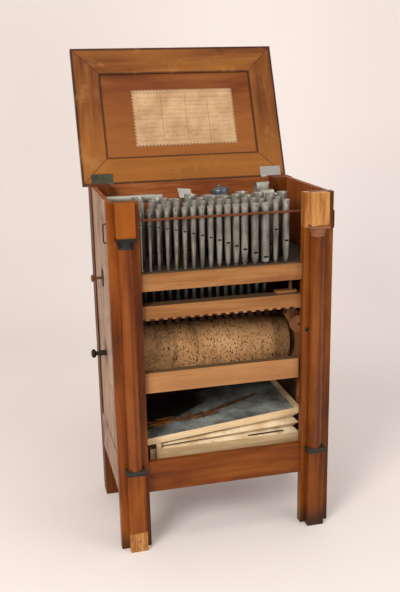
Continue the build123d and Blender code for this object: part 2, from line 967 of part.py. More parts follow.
def key_rail():
    """The rail above the keys with a lug between each two, its end posts, and the keys' axle."""
    bottom = key_top + key_rail_gap
    front = key_pivot_y - key_rail_depth / 2
    rail = block(
        left_bearer_left,
        right_bearer_right,
        front,
        front + key_rail_depth,
        bottom,
        bottom + key_rail_height,
    )
    for number in range(key_count + 1):
        x = key_x(number) - key_pitch / 2
        rail += block(
            x - lug_thickness / 2,
            x + lug_thickness / 2,
            key_pivot_y - lug_depth / 2,
            key_pivot_y + lug_depth / 2,
            key_bottom + 2,
            bottom,
        )
    for x0, x1 in ((left_bearer_left, left_bearer_right), (right_bearer_left, right_bearer_right)):
        rail += block(x0, x1, key_pivot_y - 2, key_pivot_y - 2 + key_post_depth, bearer_top, bottom)
    axle_end = key_x(key_count) - key_pitch / 2 + lug_thickness
    axle_start = key_x(0) - key_pitch / 2 - lug_thickness
    rail -= rod_x(axle_start, axle_end, key_pivot_y, key_pivot_z, key_axle_radius + shaft_clearance)
    axle = rod_x(axle_start, axle_end, key_pivot_y, key_pivot_z, key_axle_radius)
    return [rail, axle]


# ---------------------------------------------------------------- wind chest and pipes

def wind_chest():
    """The chest's box: floor slotted for the pull-down wires, walls, open top under the sound board."""
    half = chest_half_width
    chest = block(-half, half, chest_front, chest_rear, upper_rail_bottom, sound_board_bottom)
    chest -= block(
        -half + chest_wall,
        half - chest_wall,
        chest_front + chest_wall,
        chest_rear - chest_wall,
        upper_rail_bottom + chest_floor,
        sound_board_bottom + 1,
    )
    for number in range(key_count):
        x = key_x(number)
        chest -= block(
            x - wire_slot_width / 2,
            x + wire_slot_width / 2,
            tracker_y - wire_slot_length / 2,
            tracker_y + wire_slot_length / 2,
            upper_rail_bottom - 1,
            upper_rail_bottom + chest_floor + 1,
        )
    groove_end = slider_left + slider_link_length + stop_travel + 1
    chest -= rod_x(-half - 1, groove_end, stop_y, stop_z, stop_rod_radius + stop_rod_gap)
    trunk_mouth = block(
        trunk_left + trunk_wall,
        trunk_left + trunk_width - trunk_wall,
        bellows_rear + trunk_wall,
        chest_rear - chest_wall,
        upper_rail_bottom - 1,
        upper_rail_bottom + chest_floor + 1,
    )
    return chest - trunk_mouth


def metal_pipe(x, y, radius, mouth, top, toe=toe_radius):
    """A flue pipe: conical foot, tube open at the top, and a mouth cut in its front."""
    wall = pipe_wall
    floor = mouth + 1
    shoulder = max(toe, foot_share * radius) + 0.1
    outline = [
        (0, upper_rail_top),
        (toe, upper_rail_top),
        (toe, upper_rail_top + toe_height),
        (shoulder, upper_rail_top + 2 * toe_height),
        (radius, mouth - 2),
        (radius, top),
        (radius - wall, top),
        (radius - wall, floor),
        (0, floor),
    ]
    pipe = Pos(x, y, 0) * turned(outline)
    mouth_cut = block(
        x - 0.62 * radius, x + 0.62 * radius, y - radius - 1, y - 0.7 * radius, mouth, mouth + 0.55 * radius
    )
    return pipe - mouth_cut


def square_pipe(x, y, side, top):
    """A stopped wooden pipe: a square tube on a round foot, with its mouth in front."""
    half = side / 2
    mouth = bass_mouth - 10
    tube = block(x - half, x + half, y - half, y + half, mouth - 12, top)
    tube -= block(x - half + 4, x + half - 4, y - half + 4, y + half - 4, mouth, top - 14)
    tube -= block(x - half + 6, x + half - 6, y - half - 1, y - half + 5, mouth, mouth + 10)
    foot = rod_z(x, y, upper_rail_top, mouth - 12, bass_toe_radius)
    return tube + foot


def front_rank():
    """Where each front pipe stands, with its radius, mouth and top."""
    rank = []
    for number in range(front_rank_narrow_count + front_rank_wide_count):
        wide = max(0, number - front_rank_narrow_count + 1)
        x = front_rank_x + (number - wide) * front_rank_pitch + wide * front_rank_wide_pitch
        radius = front_first_radius + front_radius_step * number
        mouth = front_rank_top - front_first_body * front_body_growth**number
        top = front_rank_top
        last = number - (front_rank_narrow_count + front_rank_wide_count - 2)
        if last >= 0:
            radius = last_pipe_radii[last]
            mouth = last_pipe_mouths[last]
            top += last_pipe_extra_height
        rank.append((x, front_rank_y, radius, mouth, top))
    return rank


def inner_ranks():
    """The round metal pipes of the three ranks behind the front one."""
    pipes = []
    for number in range(second_rank_count):
        x = front_rank_x + (number + 0.5) * front_rank_pitch
        radius = second_rank_first_radius + second_rank_radius_step * number
        pipes.append((x, second_rank_y, radius, second_rank_mouth, second_rank_top - 3 * (number % 3)))
    for number, x in enumerate(centred(third_rank_count, third_rank_pitch)):
        radius = third_rank_first_radius + third_rank_radius_step * number
        pipes.append((x, third_rank_y, radius, third_rank_mouth, third_rank_top - 4 * (number % 2)))
    for number, x in enumerate(centred(bass_rank_count, bass_rank_pitch)):
        pipes.append((x, bass_rank_y, bass_rank_radius, bass_mouth, bass_rank_top - 5 * (number % 3)))
    return pipes


def bent_pipe(points, radius, foot_x, foot_y):
    """A bass pipe mitred over at the top, on its round foot."""
    path = Polyline(*points)
    section = Plane(origin=path @ 0, z_dir=path % 0) * Circle(radius)
    tube = sweep(section, path=path, transition=Transition.RIGHT)
    foot = rod_z(foot_x, foot_y, upper_rail_top, points[0][2], bass_toe_radius)
    return tube + foot


def bass_pipes():
    """The large pipes at the back: mitred, capped, and one with a tilted plate on it."""
    pipes = []
    start = bass_mouth
    x, y = lying_pipe_x, lying_pipe_y
    lying = [(x, y, start), (x, y, lying_pipe_z), (x + lying_pipe_reach, y, lying_pipe_z)]
    pipes.append(bent_pipe(lying, lying_pipe_radius, x, y))
    x, y = hood_pipe_x, hood_pipe_y
    hood = [(x, y, start), (x, y, hood_pipe_top), (x - hood_reach, y, hood_pipe_top)]
    pipes.append(bent_pipe(hood, hood_pipe_radius, x, y))
    x, y = low_hood_x, low_hood_y
    low_hood = [(x, y, start), (x, y, low_hood_top), (x + hood_reach, y, low_hood_top)]
    pipes.append(bent_pipe(low_hood, hood_pipe_radius, x, y))
    x, y = capped_pipe_x, capped_pipe_y
    radius = capped_pipe_radius
    capped = rod_z(x, y, start, capped_pipe_top, radius)
    capped += rod_z(x, y, capped_pipe_top - cap_height, capped_pipe_top + 2, radius + 1.5)
    capped += rod_z(x, y, capped_pipe_top, capped_pipe_top + cap_knob_height, cap_knob_radius)
    capped += rod_z(x, y, upper_rail_top, start, bass_toe_radius)
    pipes.append(capped)
    x, y = plate_pipe_x, plate_pipe_y
    plate_pipe = square_pipe(x, y, plate_pipe_side, plate_pipe_top)
    lift = plate_side / 2 * math.sin(math.radians(plate_tilt))
    plate = Pos(x, y, plate_pipe_top + lift) * Rot(plate_tilt, 0, 0) * Box(plate_side, plate_side, plate_thickness)
    pipes.append(plate_pipe + plate)
    for number in range(square_pipe_count):
        x = square_pipe_x + number * square_pipe_pitch
        pipes.append(square_pipe(x, square_pipe_y, square_pipe_side, square_pipe_top))
    return pipes


def sound_board():
    """The board that the pipes stand on, with a toe hole under each round metal pipe."""
    board = block(
        -chest_half_width, chest_half_width, chest_front, chest_rear, sound_board_bottom, upper_rail_top
    )
    holes = [
        rod_z(pipe[0], pipe[1], sound_board_bottom - 1, upper_rail_top + 1, toe_hole_radius)
        for pipe in front_rank() + inner_ranks()
    ]
    return board - holes


def pipe_rack():
    """The thin strip in front of the pipes, on a small block at each post."""
    widest = max(pipe[2] for pipe in front_rank())
    rear = front_rank_y - widest - rack_pipe_gap
    top = rack_bottom + rack_height
    strip = block(-post_inner - rack_block, post_inner + rack_block, rear - rack_depth + 4, rear, rack_bottom, top)
    strip -= block(-case_width, -post_inner, 0, front_post_thickness, rack_bottom - 1, top + 1)
    strip -= block(post_inner, case_width, 0, front_post_thickness, rack_bottom - 1, top + 1)
    seat = block(
        post_inner,
        post_inner + rack_block,
        front_post_thickness,
        rear,
        rack_bottom - rack_block,
        rack_bottom,
    )
    return [strip, seat, mirrored(seat)]


# ---------------------------------------------------------------- bellows

def slope_plane(x, z, degrees):
    """A plane through (x, z) that climbs to the right by the given angle; local y is the case's y."""
    angle = math.radians(degrees)
    return Plane(
        origin=(x, 0, z),
        x_dir=(math.cos(angle), 0, math.sin(angle)),
        z_dir=(-math.sin(angle), 0, math.cos(angle)),
    )


def sloped_board(x, z, degrees, right, thickness, upward):
    """A board that lies on, or hangs under, the sloping plane."""
    length = (right - x) / math.cos(math.radians(degrees))
    depth = bellows_rear - moving_board_gap - bellows_front
    middle = thickness / 2 if upward else -thickness / 2
    place = Pos(length / 2, bellows_front + depth / 2, middle)
    return slope_plane(x, z, degrees) * place * Box(length, depth, thickness)


def ribs(apex_x, apex_z, degrees, left, right, folds):
    """Leathered ribs as a folded ring between two boards whose planes meet at the apex line."""
    depth = bellows_rear - bellows_front - 2 * rib_margin
    middle = (bellows_front + bellows_rear) / 2
    near = left - apex_x
    far = right - apex_x

    def section(share, inset):
        start = near + (inset if inset > rib_fold_depth else 0)
        width = far - inset - start
        plane = slope_plane(apex_x, apex_z, degrees * share)
        return plane * Pos(start + width / 2, middle) * Rectangle(width, depth - 2 * inset)

    steps = 2 * folds
    outer = [section(step / steps, rib_fold_depth * (step % 2)) for step in range(steps + 1)]
    body = loft(outer, ruled=True)
    inner = rib_fold_depth + rib_wall
    hollow = loft([section(-0.2, inner), section(1.2, inner)], ruled=True)
    return body - hollow


def line_left_of(x, z, degrees, level):
    """Where the sloping line through (x, z) reaches the given level."""
    return x - (z - level) / math.tan(math.radians(degrees))


def reservoir_top_board():
    """The papered top board, with a batten on its right edge."""
    board = sloped_board(
        top_board_left, top_board_low, top_board_slope, bellows_right, top_board_thickness, True
    )
    plane = slope_plane(top_board_left, top_board_low, top_board_slope)
    length = (bellows_right - top_board_left) / math.cos(math.radians(top_board_slope))
    depth = bellows_rear - moving_board_gap - bellows_front
    place = Pos(length - batten_width / 2, bellows_front + depth / 2, top_board_thickness + batten_height / 2)
    batten = plane * place * Box(batten_width, depth, batten_height)
    return board + batten


def reservoir_ribs():
    apex = line_left_of(top_board_left, top_board_low, top_board_slope, middle_board_top)
    return ribs(
        apex,
        middle_board_top,
        top_board_slope,
        middle_board_left + end_block_length + rib_end_gap,
        bellows_right - rib_margin,
        2,
    )


def bellows_middle_board():
    """The fixed board that carries both bellows, its end block, and the foot it stands on.

    Behind the bearer's front edge the board reaches over to that bearer, which holds its right end.
    """
    board = block(
        middle_board_left, bellows_right, bellows_front, bellows_rear, middle_board_bottom, middle_board_top
    )
    board += block(
        bellows_right, right_bearer_left, bearer_front, bearer_rear, middle_board_bottom, middle_board_top
    )
    slope = math.tan(math.radians(top_board_slope))
    face_top = top_board_low + (middle_board_left - top_board_left) * slope - board_rest_gap
    end = block(
        middle_board_left,
        middle_board_left + end_block_length,
        bellows_front,
        bellows_rear,
        middle_board_top,
        face_top,
    )
    foot = block(
        middle_board_left - foot_thickness,
        middle_board_left,
        bellows_front + foot_setback,
        bellows_rear,
        floor_bottom + floor_thickness,
        middle_board_top,
    )
    return [board + end, foot]


def feeder_board():
    """The moving board of the feeder, with the ear that the connecting rod drives."""
    board = sloped_board(feeder_left, feeder_high, -feeder_slope, bellows_right, feeder_thickness, False)
    rear = rod_front - rod_side_gap
    low = feeder_ear_z - feeder_ear_height / 2
    high = feeder_ear_z + feeder_ear_height / 2
    left = crank_x - feeder_ear_width / 2
    arm = block(left - feeder_ear_lap, bellows_right, bellows_rear - feeder_ear_lap, rear, low, high)
    ear = block(left, left + feeder_ear_width, bearer_rear + feeder_ear_gap, rear, low, high)
    return board + arm + ear


def feeder_ribs():
    apex = line_left_of(feeder_left, feeder_high, -feeder_slope, middle_board_bottom)
    return ribs(
        apex, middle_board_bottom, -feeder_slope, feeder_left + 6, bellows_right - rib_margin, 2
    )


def wind_trunk():
    """The flat wooden duct from the middle board up to the chest."""
    right = trunk_left + trunk_width
    front = bellows_rear
    rear = front + trunk_depth
    trunk = block(trunk_left, right, front, rear, middle_board_bottom, upper_rail_bottom)
    wall = trunk_wall
    trunk -= block(
        trunk_left + wall, right - wall, front + wall, rear - wall, middle_board_bottom + wall, upper_rail_bottom + 1
    )
    return trunk


# ---------------------------------------------------------------- lid

lid_left = lid_shift - lid_width / 2
lid_right = lid_shift + lid_width / 2
lid_bottom = case_height + lid_gap
lid_top = lid_bottom + lid_thickness
hinge_y = case_depth + hinge_offset
hinge_z = lid_bottom - hinge_drop
lid_front = hinge_y - lid_length
lid_open_angle = 90 + lid_lean


def opened(piece):
    """Turns a piece drawn on the closed lid back to the lid's resting place."""
    return piece.rotate(Axis((0, hinge_y, hinge_z), (1, 0, 0)), -lid_open_angle)


def lid_frame():
    """Four rails mitred at the corners, with an eased outer edge and a groove for the panel."""
    inner_left = lid_left + lid_rail_width
    inner_right = lid_right - lid_rail_width
    inner_front = lid_front + lid_rail_width
    inner_rear = hinge_y - lid_rail_width
    corners = [
        ((lid_left, lid_front), (inner_left, inner_front)),
        ((lid_right, lid_front), (inner_right, inner_front)),
        ((lid_right, hinge_y), (inner_right, inner_rear)),
        ((lid_left, hinge_y), (inner_left, inner_rear)),
    ]
    slab = block(lid_left, lid_right, lid_front, hinge_y, lid_bottom, lid_top)
    upper_edges = slab.faces().sort_by(Axis.Z)[-1].edges()
    slab = fillet(upper_edges, lid_edge_round)
    leaf_seats = [lid_leaf_seat(side) for side in (-1, 1)]
    rails = []
    for number, (outer, inner) in enumerate(corners):
        next_outer, next_inner = corners[(number + 1) % 4]
        face = make_face(Polyline(outer, next_outer, next_inner, inner, close=True))
        wedge = Pos(0, 0, lid_bottom - 1) * extrude(face, lid_thickness + 2)
        rail = slab & wedge
        for seat in leaf_seats:
            rail -= seat
        rails.append(opened(rail))
    return rails


def lid_panel():
    sink = lid_bottom + lid_panel_sink
    return opened(
        block(
            lid_left + lid_rail_width,
            lid_right - lid_rail_width,
            lid_front + lid_rail_width,
            hinge_y - lid_rail_width,
            sink,
            sink + lid_panel_thickness,
        )
    )


def tune_sheet():
    """The sheet pasted on the inside of the lid's panel."""
    left = lid_left + lid_rail_width + sheet_left_margin
    rear = hinge_y - lid_rail_width - sheet_low_margin
    top = lid_bottom + lid_panel_sink
    return opened(block(left, left + sheet_width, rear - sheet_height, rear, top - sheet_thickness, top))


def hinge_x(side):
    """The middle of a hinge, on one side of the case."""
    return side * (half_width - hinge_inset)


def lid_leaf_seat(side):
    x = hinge_x(side)
    half = hinge_length / 2
    return block(
        x - half,
        x + half,
        hinge_y - hinge_leaf_height,
        hinge_y + 1,
        lid_bottom - 1,
        lid_bottom + hinge_leaf_thickness,
    )


def knuckle(x0, x1):
    return rod_x(x0, x1, hinge_y, hinge_z, hinge_knuckle_radius) - rod_x(
        x0 - 1, x1 + 1, hinge_y, hinge_z, hinge_pin_radius + shaft_clearance
    )


def lid_hinge_leaf(side):
    """The leaf let into the lid, with the middle knuckle."""
    x = hinge_x(side)
    half = hinge_length / 2
    third = hinge_length / 6 - knuckle_gap
    leaf = block(
        x - half,
        x + half,
        hinge_y - hinge_leaf_height,
        hinge_y,
        lid_bottom,
        lid_bottom + hinge_leaf_thickness,
    )
    web = block(
        x - third,
        x + third,
        hinge_y + hinge_pin_radius + 0.2,
        hinge_y + hinge_knuckle_radius,
        hinge_z,
        lid_bottom + hinge_leaf_thickness,
    )
    bridge = block(
        x - third,
        x + third,
        hinge_y - 1,
        hinge_y + hinge_knuckle_radius,
        lid_bottom,
        lid_bottom + hinge_leaf_thickness,
    )
    return opened(leaf + bridge + web + knuckle(x - third, x + third))


def case_hinge_leaf(side):
    """The leaf on the back of the rear post, with the outer knuckles, and the hinge's pin."""
    x = hinge_x(side)
    half = hinge_length / 2
    third = hinge_length / 6
    leaf = block(
        x - half,
        x + half,
        case_depth,
        case_depth + hinge_leaf_thickness,
        hinge_z - hinge_leaf_height,
        hinge_z,
    )
    leaf -= block(
        x - third, x + third, case_depth - 1, hinge_y, hinge_z - 2 * hinge_knuckle_radius, hinge_z + 1
    )
    for x0, x1 in ((x - half, x - third), (x + third, x + half)):
        leaf += knuckle(x0, x1)
    pin = rod_x(x - half, x + half, hinge_y, hinge_z, hinge_pin_radius)
    return [leaf, pin]


# ---------------------------------------------------------------- written out

nodes = {
    "left_front_post": [front_post(-1)],
    "right_front_post": [front_post(1)],
    "rear_posts": rear_posts(),
    "left_side_panel": side_panel(-1),
    "right_side_panel": side_panel(1),
    "back_panel": [back_panel()],
    "column_shafts": both_sides(column_shaft()),
    "column_mouldings": both_sides(column_base()) + both_sides(column_capital()),
    "post_blocks": both_sides(post_block(0, plinth_height)) + both_sides(post_block(capital_top, case_height)),
    "front_apron": [front_apron()],
    "floor_board": [floor_board()],
    "upper_front_rail": [upper_front_rail()],
    "middle_front_rail": middle_front_rail(),
    "lower_front_rail": [lower_front_rail()],
    "left_bearer_board": [left_bearer_board()],
    "right_bearer_board": [right_bearer_board()],
    "crank_bearing_blocks": crank_bearing_blocks(),
    "iron_fittings": both_sides(staple()) + [crank_bush(), stop_plate()],
    "barrel": [barrel()],
    "barrel_pins": barrel_pins(),
    "barrel_arbor": barrel_arbor(),
    "worm_wheel": [worm_wheel()],
    "crankshaft": [crankshaft()],
    "connecting_rod": [connecting_rod()],
    "tune_bolt": [tune_bolt()],
    "stop_knob": [stop_knob()],
    "key_rail": key_rail(),
    "wind_chest": [wind_chest()],
    "sound_board": [sound_board()],
    "front_pipes": [metal_pipe(*pipe) for pipe in front_rank()],
    "rear_pipes": [metal_pipe(*pipe) for pipe in inner_ranks()] + bass_pipes(),
    "pipe_rack": pipe_rack(),
    "wind_trunk": [wind_trunk(), conveyance_tube()],
    "reservoir_top_board": [reservoir_top_board()],
    "reservoir_ribs": [reservoir_ribs()],
    "bellows_middle_board": bellows_middle_board(),
    "feeder_ribs": [feeder_ribs()],
    "feeder_board": [feeder_board()],
    "lid_frame": lid_frame(),
    "lid_panel": [lid_panel()],
    "tune_sheet": [tune_sheet()],
    "lid_hinge_leaves": [lid_hinge_leaf(-1), lid_hinge_leaf(1)],
    "case_hinge_leaves": case_hinge_leaf(-1) + case_hinge_leaf(1),
}
for number in range(key_count):
    nodes[f"key_{number + 1:02d}"] = key(number)

# The origin: the middle of the space between the outermost pieces, on the floor.
leftmost = -half_width - bolt_reach
rightmost = half_width + staple_reach + staple_wire_radius
frontmost = -block_projection - capital_lip
lean = math.radians(lid_lean)
rearmost = hinge_y + lid_length * math.sin(lean) + (hinge_drop + lid_thickness) * math.cos(lean)
origin_x = (leftmost + rightmost) / 2
origin_y = (frontmost + rearmost) / 2

if __name__ == "__main__":
    os.makedirs("parts", exist_ok=True)
    for name, pieces in nodes.items():
        solids = [solid for piece in pieces for solid in piece.solids()]
        shape = solids[0] if len(solids) == 1 else Compound(solids)
        export_step(shape.moved(Location((-origin_x, -origin_y, 0))), f"parts/{name}.step")
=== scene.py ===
import itertools
import math
import random

import bmesh
import bpy
from mathutils import Matrix, Vector, noise


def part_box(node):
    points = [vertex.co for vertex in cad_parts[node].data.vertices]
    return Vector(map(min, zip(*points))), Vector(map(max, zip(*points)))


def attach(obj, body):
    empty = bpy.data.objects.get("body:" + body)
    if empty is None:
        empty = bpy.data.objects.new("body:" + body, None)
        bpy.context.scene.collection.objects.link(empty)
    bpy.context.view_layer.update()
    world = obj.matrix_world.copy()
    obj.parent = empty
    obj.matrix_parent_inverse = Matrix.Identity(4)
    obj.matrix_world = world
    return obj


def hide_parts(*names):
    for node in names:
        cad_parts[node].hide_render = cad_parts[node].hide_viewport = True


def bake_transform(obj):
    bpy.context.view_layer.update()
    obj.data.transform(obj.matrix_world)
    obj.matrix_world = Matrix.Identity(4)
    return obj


MM = 0.001

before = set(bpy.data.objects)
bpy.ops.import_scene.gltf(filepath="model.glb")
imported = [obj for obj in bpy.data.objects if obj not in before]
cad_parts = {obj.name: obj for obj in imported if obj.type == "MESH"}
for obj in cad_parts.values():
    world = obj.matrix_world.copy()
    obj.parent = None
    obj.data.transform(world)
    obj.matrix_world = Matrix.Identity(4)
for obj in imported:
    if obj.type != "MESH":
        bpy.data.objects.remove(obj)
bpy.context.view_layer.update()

# The case's own frame: x from its middle, y from the front of its posts, z from the floor.
left_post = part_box("left_front_post")
right_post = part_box("right_front_post")
case_middle = (left_post[0].x + right_post[1].x) / 2
case_front = right_post[0].y
case_top = right_post[1].z


def place(x, y, z):
    """A point of the case's own frame, given in millimetres."""
    return Vector((case_middle + x * MM, case_front + y * MM, z * MM))


def colour(red, green, blue):
    """A shader colour from screen values of 0 to 255."""
    linear = []
    for value in (red, green, blue):
        share = value / 255
        linear.append(share / 12.92 if share <= 0.04045 else ((share + 0.055) / 1.055) ** 2.4)
    return (*linear, 1.0)


def as_colour(value):
    """A shader colour as it is, or one made from three screen values; anything else is left alone."""
    return colour(*value) if isinstance(value, tuple) and len(value) == 3 else value


# Sizes of the case and its works in its own frame, in millimetres; angles in radians.
HALF_WIDTH = 313.0
SIDE_RECESS = 4.0
POST_INNER = 227.4
COLUMN_X = 266.35
SOUND_TOP = 804.0
FRONT_TOP = 972.0
FOOT_SHARE = 0.72
KEY_TOP = 627.6
CRANK_X, CRANK_Z = 240.5, 609.0
BOLT_Y, BOLT_Z = 180.0, 538.0
STOP_Y, STOP_Z = 172.0, 764.0
HINGE_Y, HINGE_Z = 397.0, 996.4
LID_LEFT, LID_WIDTH, LID_LENGTH = -328.0, 644.0, 433.0
LID_LEAN = math.radians(22.65)
LID_RAIL = 84.0
SHEET_LOW, SHEET_HEIGHT = 32.0, 181.0

# The bellows: where each sloping board starts, its height there and its slope, and the folds between.
RESERVOIR_LINE = (-226, 291.4, math.radians(5.65))
FEEDER_LINE = (-190, 236.3, math.radians(4.6))
RESERVOIR_FOOT, FEEDER_CEILING = 275.2, 239.8
TOP_BOARD_THICKNESS = 20.3
LEATHER_BOX = (-179, 238, 48, 308)
LEATHER_MIDDLE_Y = 178
FOLD_DEPTH = 15

# The odd pipes behind the ranks, each by its middle.
LYING_PIPE = (-272, 300)
HOODED_PIPE = (205, 290)
LOW_HOODED_PIPE = (196, 243)
CAPPED_PIPE = (70, 296)
PLATE_PIPE = (-46, 255)
PIPE_SIDES = 28
FRONT = -math.pi / 2


# ---------------------------------------------------------------- camera, light and stage

CAMERA_PLACE = place(-573.69, -2095.92, 1327.06)
CAMERA_YAW = 0.2364
CAMERA_PITCH = 0.2681
CAMERA_ROLL = -0.0202
CAMERA_LENS = 50.22


def make_camera():
    forward = Vector(
        (
            math.sin(CAMERA_YAW) * math.cos(CAMERA_PITCH),
            math.cos(CAMERA_YAW) * math.cos(CAMERA_PITCH),
            -math.sin(CAMERA_PITCH),
        )
    )
    level = Vector((math.cos(CAMERA_YAW), -math.sin(CAMERA_YAW), 0))
    upright = level.cross(forward)
    right = math.cos(CAMERA_ROLL) * level + math.sin(CAMERA_ROLL) * upright
    up = -math.sin(CAMERA_ROLL) * level + math.cos(CAMERA_ROLL) * upright
    camera = bpy.data.objects.new("camera", bpy.data.cameras.new("camera"))
    turn = Matrix((right, up, -forward)).transposed()
    camera.matrix_world = Matrix.Translation(CAMERA_PLACE) @ turn.to_4x4()
    camera.data.sensor_width = 36
    camera.data.lens = CAMERA_LENS
    camera.data.clip_end = 50
    bpy.context.scene.collection.objects.link(camera)
    bpy.context.scene.camera = camera


def area_light(name, where, target, size, watts, tint=(1, 1, 1)):
    light = bpy.data.objects.new(name, bpy.data.lights.new(name, "AREA"))
    light.data.shape = "DISK"
    light.data.size = size
    light.data.energy = watts
    light.data.color = tint
    light.location = where
    light.rotation_mode = "QUATERNION"
    light.rotation_quaternion = (Vector(target) - Vector(where)).to_track_quat("-Z", "Y")
    bpy.context.scene.collection.objects.link(light)


class Value:
    """A number that a node gives; a sum or product of it is the node that works it out."""

    def __init__(self, graph, socket):
        self.graph = graph
        self.socket = socket

    def __add__(self, other):
        return self.graph.math("ADD", self, other)

    def __sub__(self, other):
        return self.graph.math("SUBTRACT", self, other)

    def __rsub__(self, other):
        return self.graph.math("SUBTRACT", other, self)

    def __mul__(self, other):
        return self.graph.math("MULTIPLY", self, other)

    def __abs__(self):
        return self.graph.math("ABSOLUTE", self)

    def most(self, other):
        return self.graph.math("MAXIMUM", self, other)

    def least(self, other):
        return self.graph.math("MINIMUM", self, other)

    def band(self, low, high, start=0.0, end=1.0, curve="SMOOTHSTEP"):
        """Mapped from low..high to start..end, and held there."""
        inputs = {0: self, 1: low, 2: high, 3: start, 4: end}
        return self.graph.value("MapRange", inputs, interpolation_type=curve)

    def above(self, level, soft=1.0 * MM):
        """1 over the level, with a soft edge."""
        return self.band(level - soft, level + soft)

    def below(self, level, soft=1.0 * MM):
        return self.band(level - soft, level + soft, 1.0, 0.0)

    def within(self, low, high, soft):
        """1 between low and high, with soft ends."""
        return self.above(low, soft) * self.below(high, soft)


class Graph:
    """Short calls that add and link the nodes of one material."""

    def __init__(self, name):
        self.material = bpy.data.materials.new(name)
        self.material.use_nodes = True
        self.nodes = self.material.node_tree.nodes
        self.links = self.material.node_tree.links
        self.nodes.clear()
        self.coords = self.node("TexCoord").outputs["Object"]
        self.x, self.y, self.z = self.parts(self.coords)

    def feed(self, socket, value):
        if isinstance(value, Value):
            value = value.socket
        if isinstance(value, bpy.types.NodeSocket):
            self.links.new(value, socket)
        else:
            socket.default_value = value

    def node(self, kind, inputs=None, **settings):
        made = self.nodes.new("ShaderNode" + kind)
        for key, value in settings.items():
            setattr(made, key, value)
        for key, value in (inputs or {}).items():
            if value is not None:
                self.feed(made.inputs[key], value)
        return made

    def value(self, kind, inputs, output=0, **settings):
        return Value(self, self.node(kind, inputs, **settings).outputs[output])

    def math(self, operation, first, second=0.0):
        return self.value("Math", {0: first, 1: second}, operation=operation)

    def stretched(self, vector, scale):
        return self.node("Mapping", {"Vector": vector, "Scale": scale}).outputs[0]

    def noise(self, scale, detail=3.0, roughness=0.5, distortion=0.0, stretch=None, vector=None):
        """Clouds of about 1/scale metres, along vector's coordinates or else the object's own."""
        vector = vector or self.coords
        inputs = {
            "Vector": self.stretched(vector, stretch) if stretch else vector,
            "Scale": scale,
            "Detail": detail,
            "Roughness": roughness,
            "Distortion": distortion,
        }
        return self.value("TexNoise", inputs)

    def cells(self, scale, stretch):
        """The distance to the nearest of many scattered points."""
        inputs = {"Vector": self.stretched(self.coords, stretch), "Scale": scale}
        return self.value("TexVoronoi", inputs, "Distance")

    def parts(self, vector):
        made = self.node("SeparateXYZ", {0: vector})
        return [Value(self, output) for output in made.outputs]

    def joined(self, x, y, z):
        return self.node("CombineXYZ", {0: x, 1: y, 2: z}).outputs[0]

    def facing(self):
        """The direction that each face looks in, as x, y and z."""
        return self.parts(self.node("NewGeometry").outputs["True Normal"])

    def away(self, centre):
        """The distance from a line along x through the centre."""
        inputs = {0: self.joined(0.0, self.y, self.z), 1: (0.0, centre.y, centre.z)}
        return self.value("VectorMath", inputs, "Value", operation="DISTANCE")

    def mix(self, share, first, second):
        """The first colour with a share of the second over it."""
        inputs = {0: share, 6: as_colour(first), 7: as_colour(second)}
        return self.node("Mix", inputs, data_type="RGBA").outputs[2]

    def ramp(self, value, stops):
        made = self.node("ValToRGB", {0: value})
        elements = made.color_ramp.elements
        while len(elements) < len(stops):
            elements.new(0.5)
        for element, (position, tint) in zip(elements, stops):
            element.position = position
            element.color = as_colour(tint)
        return made.outputs[0]

    def rounded(self, radius):
        """The surface normal, as if every edge were eased by the radius."""
        return self.node("Bevel", {"Radius": radius}, samples=4).outputs[0]

    def edges(self, radius):
        """1 on sharp edges and inner corners, 0 on flat faces."""
        flat = self.node("NewGeometry").outputs["Normal"]
        eased = self.rounded(radius)
        likeness = self.value("VectorMath", {0: flat, 1: eased}, "Value", operation="DOT_PRODUCT")
        return likeness.band(0.995, 0.93)

    def crevices(self, distance):
        """1 deep in corners and gaps, 0 in the open."""
        openness = self.value("AmbientOcclusion", {"Distance": distance}, "AO", samples=6)
        return openness.band(0.75, 0.15)

    def bump(self, height, distance, normal=None, strength=1.0):
        inputs = {"Height": height, "Distance": distance, "Strength": strength, "Normal": normal}
        return self.node("Bump", inputs).outputs[0]

    def show(self, shader):
        self.node("OutputMaterial", {"Surface": shader.outputs[0]})
        return self.material

    def finish(self, tint, roughness, normal=None, metallic=0.0, coat=0.0):
        inputs = {
            "Base Color": tint,
            "Roughness": roughness,
            "Metallic": metallic,
            "Specular IOR Level": 0.5 if metallic else 0.2,
            "Coat Weight": coat,
            "Coat Roughness": 0.18,
            "Normal": normal,
        }
        return self.show(self.node("BsdfPrincipled", inputs))


BACKDROP_COLOUR = (234, 224, 219)


def backdrop_material():
    """A pale floor that keeps the object's shadow; to the camera it has a painted glow, stronger up the
    wall towards the right.
    """
    graph = Graph("backdrop")
    seen = graph.node("LightPath").outputs["Is Camera Ray"]
    drift = graph.noise(0.8, 2.0)
    pale = graph.mix(drift.band(0.3, 0.7), BACKDROP_COLOUR, (238, 229, 224))
    diffuse = graph.node("BsdfDiffuse", {"Color": pale}).outputs[0]
    # Painted glow for the camera only, stronger up the wall and towards the right.
    wall_glow_share = graph.y.band(0.4, 1.8) * graph.x.band(-0.5, 1.3, 0.0, 0.2)
    lift = graph.x.band(-0.6, 1.6, 0.09, 0.1) + wall_glow_share
    glow = graph.node("Emission", {"Color": pale, "Strength": lift}).outputs[0]
    lifted = graph.node("AddShader", {0: diffuse, 1: glow}).outputs[0]
    return graph.show(graph.node("MixShader", {0: seen, 1: diffuse, 2: lifted}))


